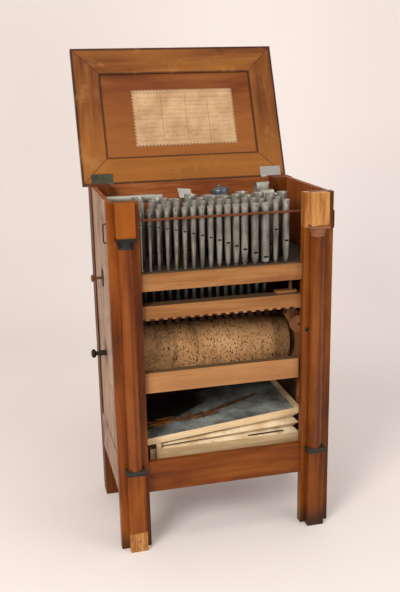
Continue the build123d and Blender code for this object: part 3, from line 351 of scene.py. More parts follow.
def make_stage():
    """A floor that curves up into a wall behind the object."""
    half, near, far, height, bend, steps = 6.0, -5.0, 2.6, 4.5, 0.9, 12
    profile = [(near, 0.0), (far - bend, 0.0)]
    for step in range(1, steps + 1):
        angle = math.pi / 2 * step / steps
        profile.append((far - bend + bend * math.sin(angle), bend - bend * math.cos(angle)))
    profile.append((far, height))
    mesh = bpy.data.meshes.new("backdrop")
    points = [(side * half, y, z) for y, z in profile for side in (-1, 1)]
    faces = [(2 * i, 2 * i + 1, 2 * i + 3, 2 * i + 2) for i in range(len(profile) - 1)]
    mesh.from_pydata(points, [], faces)
    for face in mesh.polygons:
        face.use_smooth = True
    stage = bpy.data.objects.new("backdrop", mesh)
    mesh.materials.append(backdrop_material())
    bpy.context.scene.collection.objects.link(stage)


def make_light():
    world = bpy.data.worlds.new("studio")
    world.use_nodes = True
    background = world.node_tree.nodes["Background"].inputs
    background["Color"].default_value = (1.0, 0.97, 0.94, 1)
    background["Strength"].default_value = 0.42
    bpy.context.scene.world = world
    middle = (0, 0, 0.65)
    area_light("key", (-2.3, -2.6, 2.5), middle, 1.5, 95, (1.0, 0.97, 0.93))
    area_light("fill", (2.4, -2.4, 1.7), middle, 2.2, 26, (1.0, 0.98, 0.96))
    area_light("top", (0.3, -0.2, 3.4), (0.1, 0.2, 0), 2.0, 24)
    bpy.context.scene.view_settings.view_transform = "Standard"


# ---------------------------------------------------------------- wood

EDGE_RADIUS = 1.2 * MM


def grain_coords(graph, grain):
    """Coordinates turned so that the grain runs along their last axis."""
    if grain == "X":
        return graph.joined(graph.y, graph.z, graph.x)
    if grain == "Y":
        return graph.joined(graph.x, graph.z, graph.y)
    return graph.coords


def wood_tint(graph, along, dark, middle, light, figure):
    """Streaks, blotches and pores for wood whose grain runs along the last axis."""
    streaks = graph.noise(34 * figure, 5.0, 0.6, 0.8, (1, 1, 0.07), along)
    fine = graph.noise(380, 3.0, 0.6, 0.0, (1, 1, 0.025), along)
    patches = graph.noise(9, 4.0, 0.55, 0.4, (1, 1, 0.4), along)
    mixed = streaks * 0.55 + patches * 0.45
    tint = graph.ramp(mixed, [(0.34, dark), (0.50, middle), (0.66, light)])
    pores = fine.band(0.54, 0.68)
    return graph.mix(pores * 0.3, tint, dark), fine, mixed


def wood(name, dark, middle, light, grain="Z", roughness=0.42, figure=1.0, coat=0.0, marks=None):
    """A wood finish, darkened in corners with grime and painted shade; marks(graph, tint) can add wear,
    stains and painted shade.
    """
    graph = Graph(name)
    along = grain_coords(graph, grain)
    dark, middle, light = [as_colour(tone) for tone in (dark, middle, light)]
    tint, fine, mixed = wood_tint(graph, along, dark, middle, light, figure)
    # Corners and gaps are darkened: grime and painted shade.
    grime_and_shade_tint = tuple(value * 0.32 for value in dark[:3]) + (1,)
    crevice_grime_and_shade = graph.crevices(9 * MM)
    tint = graph.mix(crevice_grime_and_shade * 0.6, tint, grime_and_shade_tint)
    worn = graph.edges(EDGE_RADIUS) * graph.noise(60, 4.0).band(0.35, 0.62)
    tint = graph.mix(worn * 0.45, tint, light)
    if marks:
        tint = marks(graph, tint)
    rubbed = graph.noise(14, 4.0)
    shine = rubbed.band(0.3, 0.7, roughness - 0.07, roughness + 0.12)
    relief = fine * 0.5 + mixed
    normal = graph.bump(relief, 0.25 * MM, graph.rounded(EDGE_RADIUS), 0.35)
    return graph.finish(tint, shine, normal, coat=coat)


POLISH_DARK = colour(70, 28, 4)
POLISH_MIDDLE = colour(128, 62, 10)
POLISH_LIGHT = colour(158, 88, 24)
BARE_DARK = (150, 92, 42)
BARE_MIDDLE = (188, 130, 70)
BARE_LIGHT = (212, 158, 98)
GRIME_AND_SHADE = (34, 28, 22)


def polished(name, grain="Z", roughness=0.36, marks=None, shade=1.0, coat=0.06):
    tones = [
        tuple(value * shade for value in tone[:3]) + (1,)
        for tone in (POLISH_DARK, POLISH_MIDDLE, POLISH_LIGHT)
    ]
    return wood(name, *tones, grain=grain, roughness=roughness, coat=coat, marks=marks)


def paint_node(name, material):
    """Gives a CAD node's every slot the material."""
    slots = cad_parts[name].material_slots
    for slot in slots:
        slot.link = "OBJECT"
        slot.material = material


def bare_wood(graph):
    """Wood that has lost its veneer: pale, fibrous and dry."""
    fibres = graph.noise(80, 5.0, 0.65, stretch=(1, 1, 0.1))
    return graph.ramp(fibres, [(0.34, BARE_DARK), (0.5, BARE_MIDDLE), (0.66, BARE_LIGHT)])


def right_shade(graph, tint, amount):
    """The right side of the front is painted darker than the left."""
    return graph.mix(graph.x.above(case_middle) * amount, tint, (52, 26, 12))


def column_wear(graph, tint):
    """A darker, redder stripe down each column, and a darker right column."""
    wobble = graph.noise(7, 3.0, stretch=(1, 1, 0.2))
    across = graph.x + wobble * (9 * MM)
    for side in (-1, 1):
        middle = place(side * COLUMN_X + 10, 0, 0).x
        stripe = across.within(middle - 6 * MM, middle + 3 * MM, 3 * MM)
        tint = graph.mix(stripe * 0.5, tint, (78, 26, 10))
    return right_shade(graph, tint, 0.26)


def block_wear(graph, tint):
    """Bare wood on the right cap block and the left foot; grime on the right foot."""
    ragged = graph.z + graph.noise(60, 4.0) * (16 * MM)
    right = graph.x.above(case_middle)
    left = graph.x.below(case_middle)
    cap = right * ragged.above(case_top - 80 * MM)
    foot = left * ragged.below(66 * MM)
    left_cap = left * graph.z.above(case_top - 100 * MM) * 0.5
    tint = graph.mix(left_cap, right_shade(graph, tint, 0.3), (172, 96, 26))
    tint = graph.mix(cap, tint, bare_wood(graph))
    tint = graph.mix(foot, tint, bare_wood(graph))
    crumbs = graph.noise(90, 5.0, 0.7).band(0.42, 0.66)
    tint = graph.mix(foot * crumbs * 0.6, tint, (104, 62, 28))
    dirty = right * ragged.band(20 * MM, 90 * MM, 0.8, 0.0)
    return graph.mix(dirty, tint, GRIME_AND_SHADE)


def post_wear(graph, tint):
    """A darker right post, a bare strip beside the right cap, and grime at the floor."""
    ragged = graph.z + graph.noise(60, 4.0) * (20 * MM)
    tint = right_shade(graph, tint, 0.14)
    inner_right = graph.x.within(place(POST_INNER, 0, 0).x, place(POST_INNER + 16, 0, 0).x, 1 * MM)
    strip = inner_right * ragged.above(case_top - 86 * MM)
    tint = graph.mix(strip * 0.85, tint, bare_wood(graph))
    low = ragged.band(15 * MM, 80 * MM, 0.75, 0.0)
    return graph.mix(low, tint, (52, 34, 22))


def side_wear_and_shade(graph, tint):
    """Outside, faded pinkish wood with stains, a crack and old nail holes; inside, orange wood with
    painted shade low down.
    """
    outside = abs(graph.x - case_middle)
    outside = outside.above((HALF_WIDTH - SIDE_RECESS - 1) * MM, 0.4 * MM)
    grain = graph.noise(36, 5.0, 0.6, 0.6, (1, 1, 0.1))
    faded = graph.ramp(grain, [(0.32, (122, 90, 68)), (0.5, (168, 136, 112)), (0.66, (186, 157, 134))])
    stains = graph.noise(12, 5.0, 0.7).band(0.52, 0.66)
    faded = graph.mix(stains * 0.6, faded, (96, 62, 40))
    for depth, height, reach in ((BOLT_Y, BOLT_Z, 60), (STOP_Y, STOP_Z, 46)):
        near = graph.away(place(0, depth, height)).band(8 * MM, reach * MM, 0.75, 0.0)
        faded = graph.mix(near, faded, (78, 46, 28))
    wavy = graph.z + graph.noise(14, 3.0, stretch=(1, 1, 0)) * (16 * MM)
    crack = wavy.within(462 * MM, 463.6 * MM, 0.8 * MM)
    short = graph.y.within(place(0, 30, 0).y, place(0, 243, 0).y, 2 * MM)
    faded = graph.mix(crack * short * 0.9, faded, (28, 18, 12))
    for depth, height in ((294, 617), (263, 587), (255, 693), (60, 880), (320, 330)):
        hole = graph.away(place(0, depth, height)).band(3 * MM, 5 * MM, 0.9, 0.0)
        faded = graph.mix(hole, faded, (24, 16, 12))
    return graph.mix(outside, painted_shade_below(graph, tint), faded)


def painted_shade_below(graph, tint):
    """The inside of the case with painted shade, almost black below the pipes."""
    # Painted shade, stronger lower down.
    soot = graph.z.band(case_top - 240 * MM, case_top - 150 * MM, 0.84, 0.0)
    return graph.mix(soot, tint, (24, 18, 12))


def back_inside_shade(graph, tint):
    # Painted shade on the back panel's inside face.
    facing = graph.facing()[1]
    return graph.mix(facing.band(-0.6, -0.4, 1.0, 0.0), tint, painted_shade_below(graph, tint))


def lid_places(graph):
    """Across and up the lid, and the distances to its nearer side and its nearer end."""
    hinge = place(0, HINGE_Y, HINGE_Z)
    rise_y = (graph.y - hinge.y) * math.sin(LID_LEAN)
    rise_z = (graph.z - hinge.z) * math.cos(LID_LEAN)
    rise = rise_y + rise_z
    left = graph.x - place(LID_LEFT, 0, 0).x
    right = place(LID_LEFT + LID_WIDTH, 0, 0).x - graph.x
    beside = left.least(right)
    over = rise.least(LID_LENGTH * MM - rise)
    return graph.x, rise, beside, over


def lid_wood():
    """Rails whose grain follows each of them, dark mitres, outer edges and panel groove."""
    graph = Graph("lid_frame_polish")
    x, rise, beside, over = lid_places(graph)
    along_rail, _, streaks = wood_tint(
        graph, graph.joined(rise, 0.0, x), POLISH_DARK, (122, 68, 20), (150, 92, 36), 1.0
    )
    up_rail = wood_tint(
        graph, graph.joined(x, 0.3, rise), POLISH_DARK, (118, 66, 22), (148, 92, 40), 1.0
    )[0]
    upright = graph.math("LESS_THAN", beside, over)
    tint = graph.mix(upright, along_rail, up_rail)
    gap = abs(beside - over)
    mitre = gap.band(0.8 * MM, 2.4 * MM, 0.8, 0.0)
    least = beside.least(over)
    rim = least.band(4 * MM, 9 * MM, 0.85, 0.0)
    groove = least.above((LID_RAIL - 5) * MM, 2 * MM)
    dark = mitre.most(rim).most(groove * 0.8)
    low = rise.band(60 * MM, 260 * MM, 0.5, 0.0)
    tint = graph.mix(low, tint, (172, 108, 46))
    tint = graph.mix(dark, tint, (48, 24, 12))
    worn = graph.noise(11, 5.0, 0.65).band(0.55, 0.7)
    tint = graph.mix(worn * 0.3, tint, (186, 132, 78))
    normal = graph.bump(streaks, 0.3 * MM, graph.rounded(EDGE_RADIUS), 0.4)
    return graph.finish(tint, 0.38, normal, coat=0.1)


def lid_panel_lower_tone(graph, tint):
    # Lighter towards the lower part of the panel.
    rise = lid_places(graph)[1]
    low = rise.band(90 * MM, 330 * MM, 0.55, 0.0)
    return graph.mix(low, tint, (166, 102, 46))


def tune_paper():
    """A browned sheet with a toothed border, a ruled table and illegible scribbles."""
    graph = Graph("sheet_paper")
    x, rise = lid_places(graph)[:2]
    clouds = graph.noise(16, 4.0, 0.6)
    tint = graph.ramp(clouds, [(0.32, (170, 132, 94)), (0.5, (190, 152, 112)), (0.68, (202, 166, 126))])
    sheet_low, sheet_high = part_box("tune_sheet")
    across = x.band(sheet_low.x, sheet_high.x, curve="LINEAR")
    bottom = (LID_RAIL + SHEET_LOW) * MM
    height = rise.band(bottom, bottom + SHEET_HEIGHT * MM, curve="LINEAR")
    edge_x = across.least(1.0 - across)
    edge_y = height.least(1.0 - height)
    inside = edge_x.band(0.045, 0.05) * edge_y.band(0.075, 0.085)
    beside_rim = edge_x.band(0.012, 0.016, 1.0, 0.0)
    border = beside_rim.most(edge_y.band(0.02, 0.028, 1.0, 0.0))
    teeth = graph.math("SINE", (x + rise) * 580.0)
    ink = border * teeth.band(-0.2, 0.3)
    dots = graph.math("SINE", x * 1300.0)
    dotted = height.within(0.935, 0.955, 0.006) * dots.band(-0.2, 0.4) * 0.7
    ink = ink.most(dotted)
    for share in (0.28, 0.52, 0.74):
        line = across.within(share - 0.0015, share + 0.0015, 0.002)
        ink = ink.most(line * inside * 0.95)
    header = height.within(0.845, 0.85, 0.004)
    ink = ink.most(header * inside * 0.7)
    rows = graph.math("SINE", height * (2 * math.pi * 13))
    letters = graph.noise(330, 2.0, 0.6, stretch=(1, 2.2, 1), vector=graph.joined(x, rise, 0.0))
    words = graph.noise(9, 1.0, vector=graph.joined(across, height, 0.0)).band(0.42, 0.5)
    scribble = letters.band(0.52, 0.6) * rows.band(0.1, 0.6) * words * inside
    ink = ink.most(scribble * 0.8)
    tint = graph.mix(ink * 0.8, tint, (66, 40, 24))
    return graph.finish(tint, 0.8, graph.bump(clouds, 0.4 * MM))


def metal(name, dark, light, roughness, metallic=1.0, scale=30, marks=None):
    graph = Graph(name)
    clouds = graph.noise(scale, 5.0, 0.6)
    specks = graph.noise(scale * 14, 3.0)
    tint = graph.ramp(clouds, [(0.3, dark), (0.7, light)])
    # Corners and gaps are darkened: grime and painted shade.
    tint = graph.mix(graph.crevices(5 * MM) * 0.6, tint, GRIME_AND_SHADE)
    if marks:
        tint = marks(graph, tint)
    shine = clouds.band(0.3, 0.7, roughness + 0.15, roughness - 0.05)
    height = clouds + specks * 0.2
    normal = graph.bump(height, 0.4 * MM, graph.rounded(0.4 * MM), 0.5)
    return graph.finish(tint, shine, normal, metallic)


def bright_right_hinge(graph, tint):
    """The right hinge is bare and bright, the left one dull and greenish."""
    return graph.mix(graph.x.above(case_middle), tint, (176, 172, 166))


def pipe_metal(name, dark, light, shade, metallic=0.45):
    """Oxidised tin: softly dented and streaked, with a painted highlight round the tops, where they were
    cut and tuned; painted shade darkens it low in the case and between the pipes.
    """
    graph = Graph(name)
    streaks = graph.noise(120, 4.0, 0.6, stretch=(1, 1, 0.12))
    clouds = graph.noise(28, 4.0)
    dents = graph.noise(80, 3.0, stretch=(1, 1, 0.6))
    mixed = streaks * 0.5 + clouds * 0.5
    tint = graph.ramp(mixed, [(0.36, dark), (0.62, light)])
    # Painted highlight round the tops.
    bright = graph.z.band(case_top - 56 * MM, case_top - 34 * MM, 0.0, 0.55)
    tint = graph.mix(bright, tint, (190, 184, 172))
    # Painted shade low in the case.
    deep = graph.z.band(case_top - 130 * MM, case_top - 60 * MM, shade, 0.0)
    tint = graph.mix(deep, tint, (20, 18, 15))
    # Painted shade between the pipes.
    tint = graph.mix(graph.crevices(5 * MM) * 0.55, tint, (26, 22, 17))
    shine = mixed.band(0.3, 0.7, 0.52, 0.34)
    normal = graph.bump(dents, 0.9 * MM, None, 0.55)
    return graph.finish(tint, shine, normal, metallic)


def barrel_paper():
    """Tan paper, darker in bands round the barrel, with painted shade at its right end and a painted
    shadow line at its rim.
    """
    graph = Graph("barrel_paper")
    barrel_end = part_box("barrel")[1].x
    clouds = graph.noise(12, 5.0, 0.6)
    fibres = graph.noise(260, 3.0, stretch=(1, 0.5, 0.5))
    mixed = clouds * 0.7 + fibres * 0.3
    tint = graph.ramp(mixed, [(0.36, (166, 120, 75)), (0.5, (198, 150, 101)), (0.66, (214, 167, 118))])
    rings = graph.noise(40, 3.0, 0.6, stretch=(1, 0.1, 0.1))
    tint = graph.mix(rings.band(0.52, 0.7, 0.0, 0.5), tint, (96, 62, 34))
    # Painted shade towards the right end.
    ragged = graph.x + clouds * (24 * MM)
    painted_end_shade = ragged.band(barrel_end - 52 * MM, barrel_end - 30 * MM, 0.0, 0.5)
    tint = graph.mix(painted_end_shade, tint, (74, 46, 24))
    # Painted shadow of the gap at the barrel's right end.
    rim = graph.x.above(barrel_end - 2.5 * MM, 0.6 * MM)
    tint = graph.mix(rim * 0.85, tint, (30, 20, 13))
    specks = graph.cells(300, (1, 0.7, 0.7)).band(0.22, 0.14)
    picked = graph.noise(60, 3.0).band(0.48, 0.58)
    tint = graph.mix(specks * picked * 0.8, tint, (50, 30, 16))
    normal = graph.bump(mixed, 0.3 * MM, graph.rounded(EDGE_RADIUS), 0.4)
    return graph.finish(tint, 0.72, normal)


def leather(name, dark, light, stain, scale=60):
    graph = Graph(name)
    clouds = graph.noise(scale * 0.4, 5.0, 0.65)
    wrinkles = graph.noise(scale * 3, 4.0, 0.6, stretch=(0.35, 1, 1))
    tint = graph.ramp(clouds, [(0.35, dark), (0.6, light)])
    stains = graph.noise(30, 5.0, 0.7, stretch=(0.5, 1, 1)).band(0.54, 0.7, 0.0, 0.6)
    tint = graph.mix(stains, tint, stain)
    # Painted shade in the folds and corners.
    tint = graph.mix(graph.crevices(8 * MM) * 0.8, tint, (60, 42, 26))
    height = clouds + wrinkles * 0.5
    return graph.finish(tint, 0.78, graph.bump(height, 1.2 * MM, None, 0.6))


def bellows_paper():
    """Blue-grey paper over the top board; its edges and the batten are bare cream wood; painted shade
    darkens its rear and its corners, and a torn hole at the left is painted near-black for the shade
    inside it.
    """
    graph = Graph("bellows_paper")
    clouds = graph.noise(13, 5.0, 0.65)
    dust = graph.noise(60, 5.0, 0.7, stretch=(0.5, 1, 1))
    blue = graph.ramp(clouds, [(0.34, (84, 84, 78)), (0.5, (128, 136, 134)), (0.64, (158, 166, 162))])
    blue = graph.mix(dust.band(0.5, 0.68, 0.0, 0.55), blue, (128, 104, 74))
    along = grain_coords(graph, "X")
    cream = wood_tint(graph, along, (178, 140, 94), (226, 194, 148), (244, 220, 180), 1.0)[0]
    facing = graph.facing()[2]
    batten = graph.x.above(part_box("reservoir_top_board")[1].x - 17 * MM, 0.3 * MM)
    ragged = graph.noise(26, 4.0, 0.7) * (60 * MM)
    reach = graph.y - graph.x * 0.55 + ragged
    shaded = graph.y.band(place(0, 150, 0).y, place(0, 290, 0).y, 0.0, 0.75)
    blue = graph.mix(shaded, blue, (44, 44, 40))
    # Painted shade in a torn hole at the left.
    hole = reach.band(place(0, 232, 0).y, place(0, 244, 0).y, 0.0, 0.94)
    left = (graph.x + ragged).band(case_middle - 10 * MM, case_middle + 50 * MM, 1.0, 0.0)
    blue = graph.mix(hole * left, blue, (16, 13, 10))
    papered = facing.band(0.8, 0.9) * (1.0 - batten)
    tint = graph.mix(papered, cream, blue)
    # Painted shade in corners.
    tint = graph.mix(graph.crevices(6 * MM) * 0.5, tint, (60, 44, 28))
    return graph.finish(tint, 0.7, graph.bump(dust, 0.6 * MM, graph.rounded(EDGE_RADIUS), 0.5))


def moulding_wear(graph, tint):
    """The right capital has lost its black: it is bare, pinkish wood."""
    bare = graph.x.above(case_middle) * graph.z.above(case_top * 0.7)
    return graph.mix(bare * 0.85, tint, (150, 98, 66))


def bearer_shade(graph, tint):
    """The barrel's bearer boards: painted shade darkens their flanks down beside the bellows."""
    facing = abs(graph.facing()[0])
    # Painted shade on the flanks, stronger lower down.
    soot = facing.band(0.7, 0.9) * graph.z.band(0.40, 0.52, 0.86, 0.0)
    return graph.mix(soot, tint, (24, 20, 14))


def key_paint_and_shade(graph, tint):
    """The tracker rods that rise from the keys are painted blue-grey, with painted shade darkening them
    towards the left.
    """
    painted = graph.z.above(place(0, 0, KEY_TOP + 2).z)
    clouds = graph.noise(50, 4.0)
    grey = graph.ramp(clouds, [(0.35, (92, 104, 98)), (0.6, (142, 154, 146))])
    unlit = graph.x.band(case_middle - 230 * MM, case_middle + 60 * MM, 0.85, 0.0)
    grey = graph.mix(unlit, grey, (24, 26, 22))
    return graph.mix(painted, tint, grey)


def dusty_top(graph, tint, dust=(48, 42, 36)):
    """Grey dust and soot on what lies flat inside the case."""
    facing = graph.facing()[2]
    flat = facing.band(0.7, 0.9, 0.0, 0.85)
    return graph.mix(flat, tint, dust)


def rail_wear_and_shade(graph, tint):
    """Dust on the rails' tops, painted shade at their ends by the posts, and a few scratches on their
    faces.
    """
    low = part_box("lower_front_rail")[1].z
    lighter = graph.z.band(low, low + 190 * MM, 0.36, 0.0)
    tint = dusty_top(graph, graph.mix(lighter, tint, (208, 152, 100)), (84, 68, 50))
    first, last = [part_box(f"key_{number:02d}") for number in (1, 17)]
    start = (first[0].x + first[1].x) / 2
    pitch = ((last[0].x + last[1].x) / 2 - start) / 16
    phase = graph.math("FRACT", graph.math("DIVIDE", graph.x - start, pitch) + 0.5)
    off_key = abs(phase - 0.5)
    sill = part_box("middle_front_rail")[0].z
    beside_sill = graph.z.within(sill - MM, sill + 5 * MM, 0.5 * MM)
    notch = off_key.band(0.27, 0.31, 1.0, 0.0) * beside_sill * graph.x.below(start + 16.5 * pitch)
    tint = graph.mix(notch, tint, (58, 24, 12))
    # Painted shade at both ends, by the posts.
    away = abs(graph.x - case_middle)
    ends = away.band((POST_INNER - 30) * MM, POST_INNER * MM, 0.0, 0.35)
    tint = graph.mix(ends, tint, (90, 56, 30))
    scratches = graph.noise(240, 2.0, stretch=(0.06, 1, 1)).band(0.66, 0.72, 0.0, 0.5)
    return graph.mix(scratches, tint, (96, 60, 34))


# ---------------------------------------------------------------- meshes

def new_object(name, mesh_data, material, smooth=True, body="case"):
    """An object from mesh_data; it rides on body, or on none where body is empty."""
    mesh = bpy.data.meshes.new(name)
    mesh_data.to_mesh(mesh)
    mesh_data.free()
    for face in mesh.polygons:
        face.use_smooth = smooth
    if smooth:
        mesh.set_sharp_from_angle(angle=math.radians(38))
    made = bpy.data.objects.new(name, mesh)
    mesh.materials.append(material)
    bpy.context.scene.collection.objects.link(made)
    if body:
        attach(made, body)
    return made


def add_rings(shape, rings, close_ends=(True, True), around=True):
    """Joins rings of points, or rows that don't run around, into one skin."""
    made = [[shape.verts.new(point) for point in ring] for ring in rings]
    count = len(made[0])
    for lower, upper in zip(made, made[1:]):
        for i in range(count if around else count - 1):
            j = (i + 1) % count
            shape.faces.new((lower[i], lower[j], upper[j], upper[i]))
    if close_ends[0]:
        shape.faces.new(list(reversed(made[0])))
    if close_ends[1]:
        shape.faces.new(made[-1])


def add_box(shape, low, high, turn=None, about=None):
    """A box between two corners of the case's frame, turned about a point where that is asked for."""
    corners = [place(*spot) for spot in itertools.product(*zip(low, high))]
    if turn is not None:
        centre = place(*about)
        corners = [centre + turn @ (corner - centre) for corner in corners]
    verts = [shape.verts.new(corner) for corner in corners]
    for face in ((0, 1, 3, 2), (4, 6, 7, 5), (0, 4, 5, 1), (2, 3, 7, 6), (0, 2, 6, 4), (1, 5, 7, 3)):
        shape.faces.new([verts[i] for i in face])


def pipe_ring(x, y, z, radius, mouth, notch, flare):
    """One ring of a pipe: pressed flat in front near its mouth, and notched where it was tuned."""
    points = []
    flat = 0.0
    if mouth - 0.8 * radius <= z <= mouth + 2.4 * radius:
        flat = 1.0 - abs(z - mouth - 0.2 * radius) / (2.3 * radius)
    for step in range(PIPE_SIDES):
        angle = 2 * math.pi * step / PIPE_SIDES
        from_front = abs((angle - FRONT + math.pi) % (2 * math.pi) - math.pi)
        across = radius * flare * math.cos(angle)
        depth = radius * flare * math.sin(angle)
        if flat > 0:
            depth = max(depth, -radius * (1 - 0.34 * flat))
        drop = notch * max(0.0, 1 - from_front / 0.55)
        points.append(place(x + across, y + depth, z - drop))
    return points


def add_pipe(shape, x, y, radius, mouth, top, notch):
    """A flue pipe with a ringed toe, a conical foot, a pressed mouth and a flared, notched top."""
    floor = SOUND_TOP
    shoulder = max(3.0, FOOT_SHARE * radius)
    # Heights and radii from the toe up; a short pipe leaves out those that would lie in its top.
    outside = [
        (floor, 4.4),
        (floor + 1.4, 4.6),
        (floor + 3, 3.2),
        (floor + 6, shoulder),
        (mouth - 1.0 * radius, radius * 0.97),
        (mouth - 0.2, radius),
        (mouth + 0.2, radius),
        (mouth + 0.8 * radius, radius),
        (mouth + 1.8 * radius, radius),
        (mouth + 2.8 * radius, radius),
        (top - 34, radius),
        (top - 20, radius * 0.94),
    ]
    stations = [(z, r, 0.0, 1.0) for z, r in outside if z < top - 33 or z == top - 20]
    stations += [
        (top - 8, radius, notch * 0.6, 1.04),
        (top, radius, notch, 1.12),
        (top, radius - 0.7, notch, 1.12),
        (top - 9, radius - 0.8, notch * 0.6, 1.02),
        (top - 30, radius - 0.8, 0.0, 1.0),
    ]
    add_rings(shape, [pipe_ring(x, y, z, r, mouth, drop, flare) for z, r, drop, flare in stations])


def front_pipe_places():
    """Each front pipe's place, radius, mouth and top."""
    count, first_x, pitch, rank_y = 17, -218.0, 24.0, 40.0
    last_narrow, wide_pitch = 12, 30.0
    least_radius, radius_step = 4.3, 0.46
    least_drop, drop_growth = 42, 1.0965
    last_two = ((8.2, 895), (9.5, 862))
    found = []
    for number in range(count):
        wide = max(0, number - last_narrow)
        x = first_x + (number - wide) * pitch + wide * wide_pitch
        radius = least_radius + radius_step * number
        mouth = FRONT_TOP - least_drop * drop_growth**number
        top = FRONT_TOP
        if number >= count - 2:
            radius, mouth = last_two[number - count + 2]
            top = FRONT_TOP + 6
        found.append((x, rank_y, radius, mouth, top))
    return found


def inner_pipe_places():
    """The three ranks of round pipes behind the front one; their tops step down and start again."""
    ranks = (
        # Count, first x, pitch, y, first radius and its growth, the mouths' height over the sound
        # board, the highest top, how far each next top is lower and after how many they start again.
        (17, -206.0, 24.0, 76.0, 6, 0.25, 42, 984, 3, 3),
        (13, -204.0, 34.0, 116.0, 9, 0.4, 34, 988, 4, 2),
        (9, -200.0, 50.0, 168.0, 16.5, 0, 46, 986, 5, 3),
    )
    found = []
    for count, first_x, pitch, y, least_radius, growth, mouth, high, step, steps in ranks:
        for number in range(count):
            radius = least_radius + growth * number
            top = high - step * (number % steps)
            found.append((first_x + pitch * number, y, radius, SOUND_TOP + mouth, top))
    return found


def add_mouths(shape, places):
    """A near-black box in each mouth: painted shade inside the pipe."""
    for x, y, radius, mouth, _ in places:
        front = y - radius * 0.69
        half = 0.6 * radius
        add_box(shape, (x - half, front - 0.35, mouth), (x + half, front + 1, mouth + 0.5 * radius))


def add_tube(shape, points, radius, dents, sides=26, wall=1.0):
    """A tube along points of the case's frame, mitred at its corners, dented, and open at its far end."""
    line = [place(*point) for point in points]
    stations = []
    for number, (first, second) in enumerate(zip(line, line[1:])):
        steps = max(2, round((second - first).length / (7 * MM)))
        for step in range(steps + (number == len(line) - 2)):
            stations.append((number, first.lerp(second, step / steps), step == 0 and number > 0))
    rings = []
    for number, centre, corner in stations:
        ahead = (line[number + 1] - line[number]).normalized()
        side = Vector((0, 1, 0))
        up = ahead.cross(side)
        if corner:
            behind = (line[number] - line[number - 1]).normalized()
            up = (ahead.cross(side) + behind.cross(side)) / 2
            up = up / up.length_squared
        ring = []
        for step in range(sides):
            angle = 2 * math.pi * step / sides
            outward = side * math.cos(angle) + up * math.sin(angle)
            spot = centre + outward * radius * MM
            dent = dents * MM * min(0.0, noise.noise(spot * 55) + 0.15 * noise.noise(spot * 190))
            ring.append(centre + outward * (radius * MM + dent))
        rings.append(ring)
    last = rings[-1]
    centre = sum(last, Vector()) / len(last)
    rings.append([centre + (point - centre) * (1 - wall / radius) for point in last])
    inner = line[-2] - line[-1]
    inward = inner.normalized() * min(inner.length * 0.7, 30 * MM)
    rings.append([point + inward for point in rings[-1]])
    add_rings(shape, rings)


def make_pipes():
    """All pipes, drawn with their pressed mouths, toes and tuned tops in place of the plain solids."""
    front = bmesh.new()
    for number, (x, y, radius, mouth, top) in enumerate(front_pipe_places()):
        add_pipe(front, x, y, radius, mouth, top, 7.0 + 4 * (number % 3 == 1))
    piece = new_object("front_pipe_bodies", front, MATERIALS["front_pipe"])
    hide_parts("front_pipes")

    rear = bmesh.new()
    for number, (x, y, radius, mouth, top) in enumerate(inner_pipe_places()):
        add_pipe(rear, x, y, radius, mouth, top, 3.0 + 4 * (number % 2))
    start = SOUND_TOP + 26
    # Each odd pipe: its place, its radius, how deep it is dented, its top and its mitre's reach.
    odd_pipes = (
        (LYING_PIPE, 12, 2.0, 962, 165),
        (HOODED_PIPE, 19, 5.0, 976, -24),
        (LOW_HOODED_PIPE, 19, 5.0, 959, 24),
        (CAPPED_PIPE, 26, 1.0, 970, 0),
    )
    for (x, y), radius, dents, top, reach in odd_pipes:
        line = [(x, y, start), (x, y, top)]
        if reach:
            line.append((x + reach, y, top))
        add_tube(rear, line, radius, dents)
    for (x, y), *_ in odd_pipes:
        add_tube(rear, [(x, y, SOUND_TOP), (x, y, start + 1)], 5, 0.0)
    piece = new_object("rear_pipe_bodies", rear, MATERIALS["rear_pipe"])
    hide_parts("rear_pipes")
    make_pipe_cap()
    make_plate_and_wooden_pipes()

    mouth_shade = bmesh.new()
    add_mouths(mouth_shade, front_pipe_places() + inner_pipe_places())
    new_object("pipe_mouths", mouth_shade, MATERIALS["painted_shade_black"], False)


def turned_ring(centre, radius, height, turn=Matrix.Identity(3), sides=32):
    """A ring about an axis through the centre, upright where no turn is given."""
    ring = []
    for step in range(sides):
        angle = 2 * math.pi * step / sides
        spot = Vector((radius * MM * math.cos(angle), radius * MM * math.sin(angle), height * MM))
        ring.append(centre + turn @ spot)
    return ring


def make_pipe_cap():
    """The knobbed metal cap on the stopped pipe, a little askew."""
    cap = bmesh.new()
    lean = Matrix.Rotation(math.radians(-9), 3, "Y")
    centre = place(*CAPPED_PIPE, 972)
    skirt = [(26.6, -4), (27, 6), (26, 9), (22, 10.5)]
    knob = [(6, 11), (4.4, 13), (5, 17), (3.4, 20), (0.1, 20.6)]
    rings = [turned_ring(centre, radius, height, lean) for radius, height in skirt + knob]
    add_rings(cap, rings, (False, True))
    new_object("pipe_cap", cap, MATERIALS["cap"])


def make_plate_and_wooden_pipes():
    """The square wooden pipes, and the tuning plate bent up from the mouth of one of them."""
    x, y = PLATE_PIPE
    half_plate, low, thickness = 20, 977, 1.2
    plate = bmesh.new()
    lean = Matrix.Rotation(math.radians(35), 3, "X") @ Matrix.Rotation(math.radians(8), 3, "Y")
    corner = (x + half_plate, y + half_plate, low + thickness)
    add_box(plate, (x - half_plate, y - half_plate, low), corner, lean, (x, y, low + thickness / 2))
    new_object("tuning_plate", plate, MATERIALS["front_pipe"], False)

    wood_pipes = bmesh.new()
    toe, half_toe = SOUND_TOP + 24, 4
    for x, y, half, top in [(*PLATE_PIPE, 17, 966)] + [(x, 244, 20, 925) for x in (-215, -163, -111)]:
        add_box(wood_pipes, (x - half, y - half, toe), (x + half, y + half, top))
        add_box(wood_pipes, (x - half_toe, y - half_toe, SOUND_TOP), (x + half_toe, y + half_toe, toe))
    new_object("wooden_pipes", wood_pipes, MATERIALS["inner"], False)


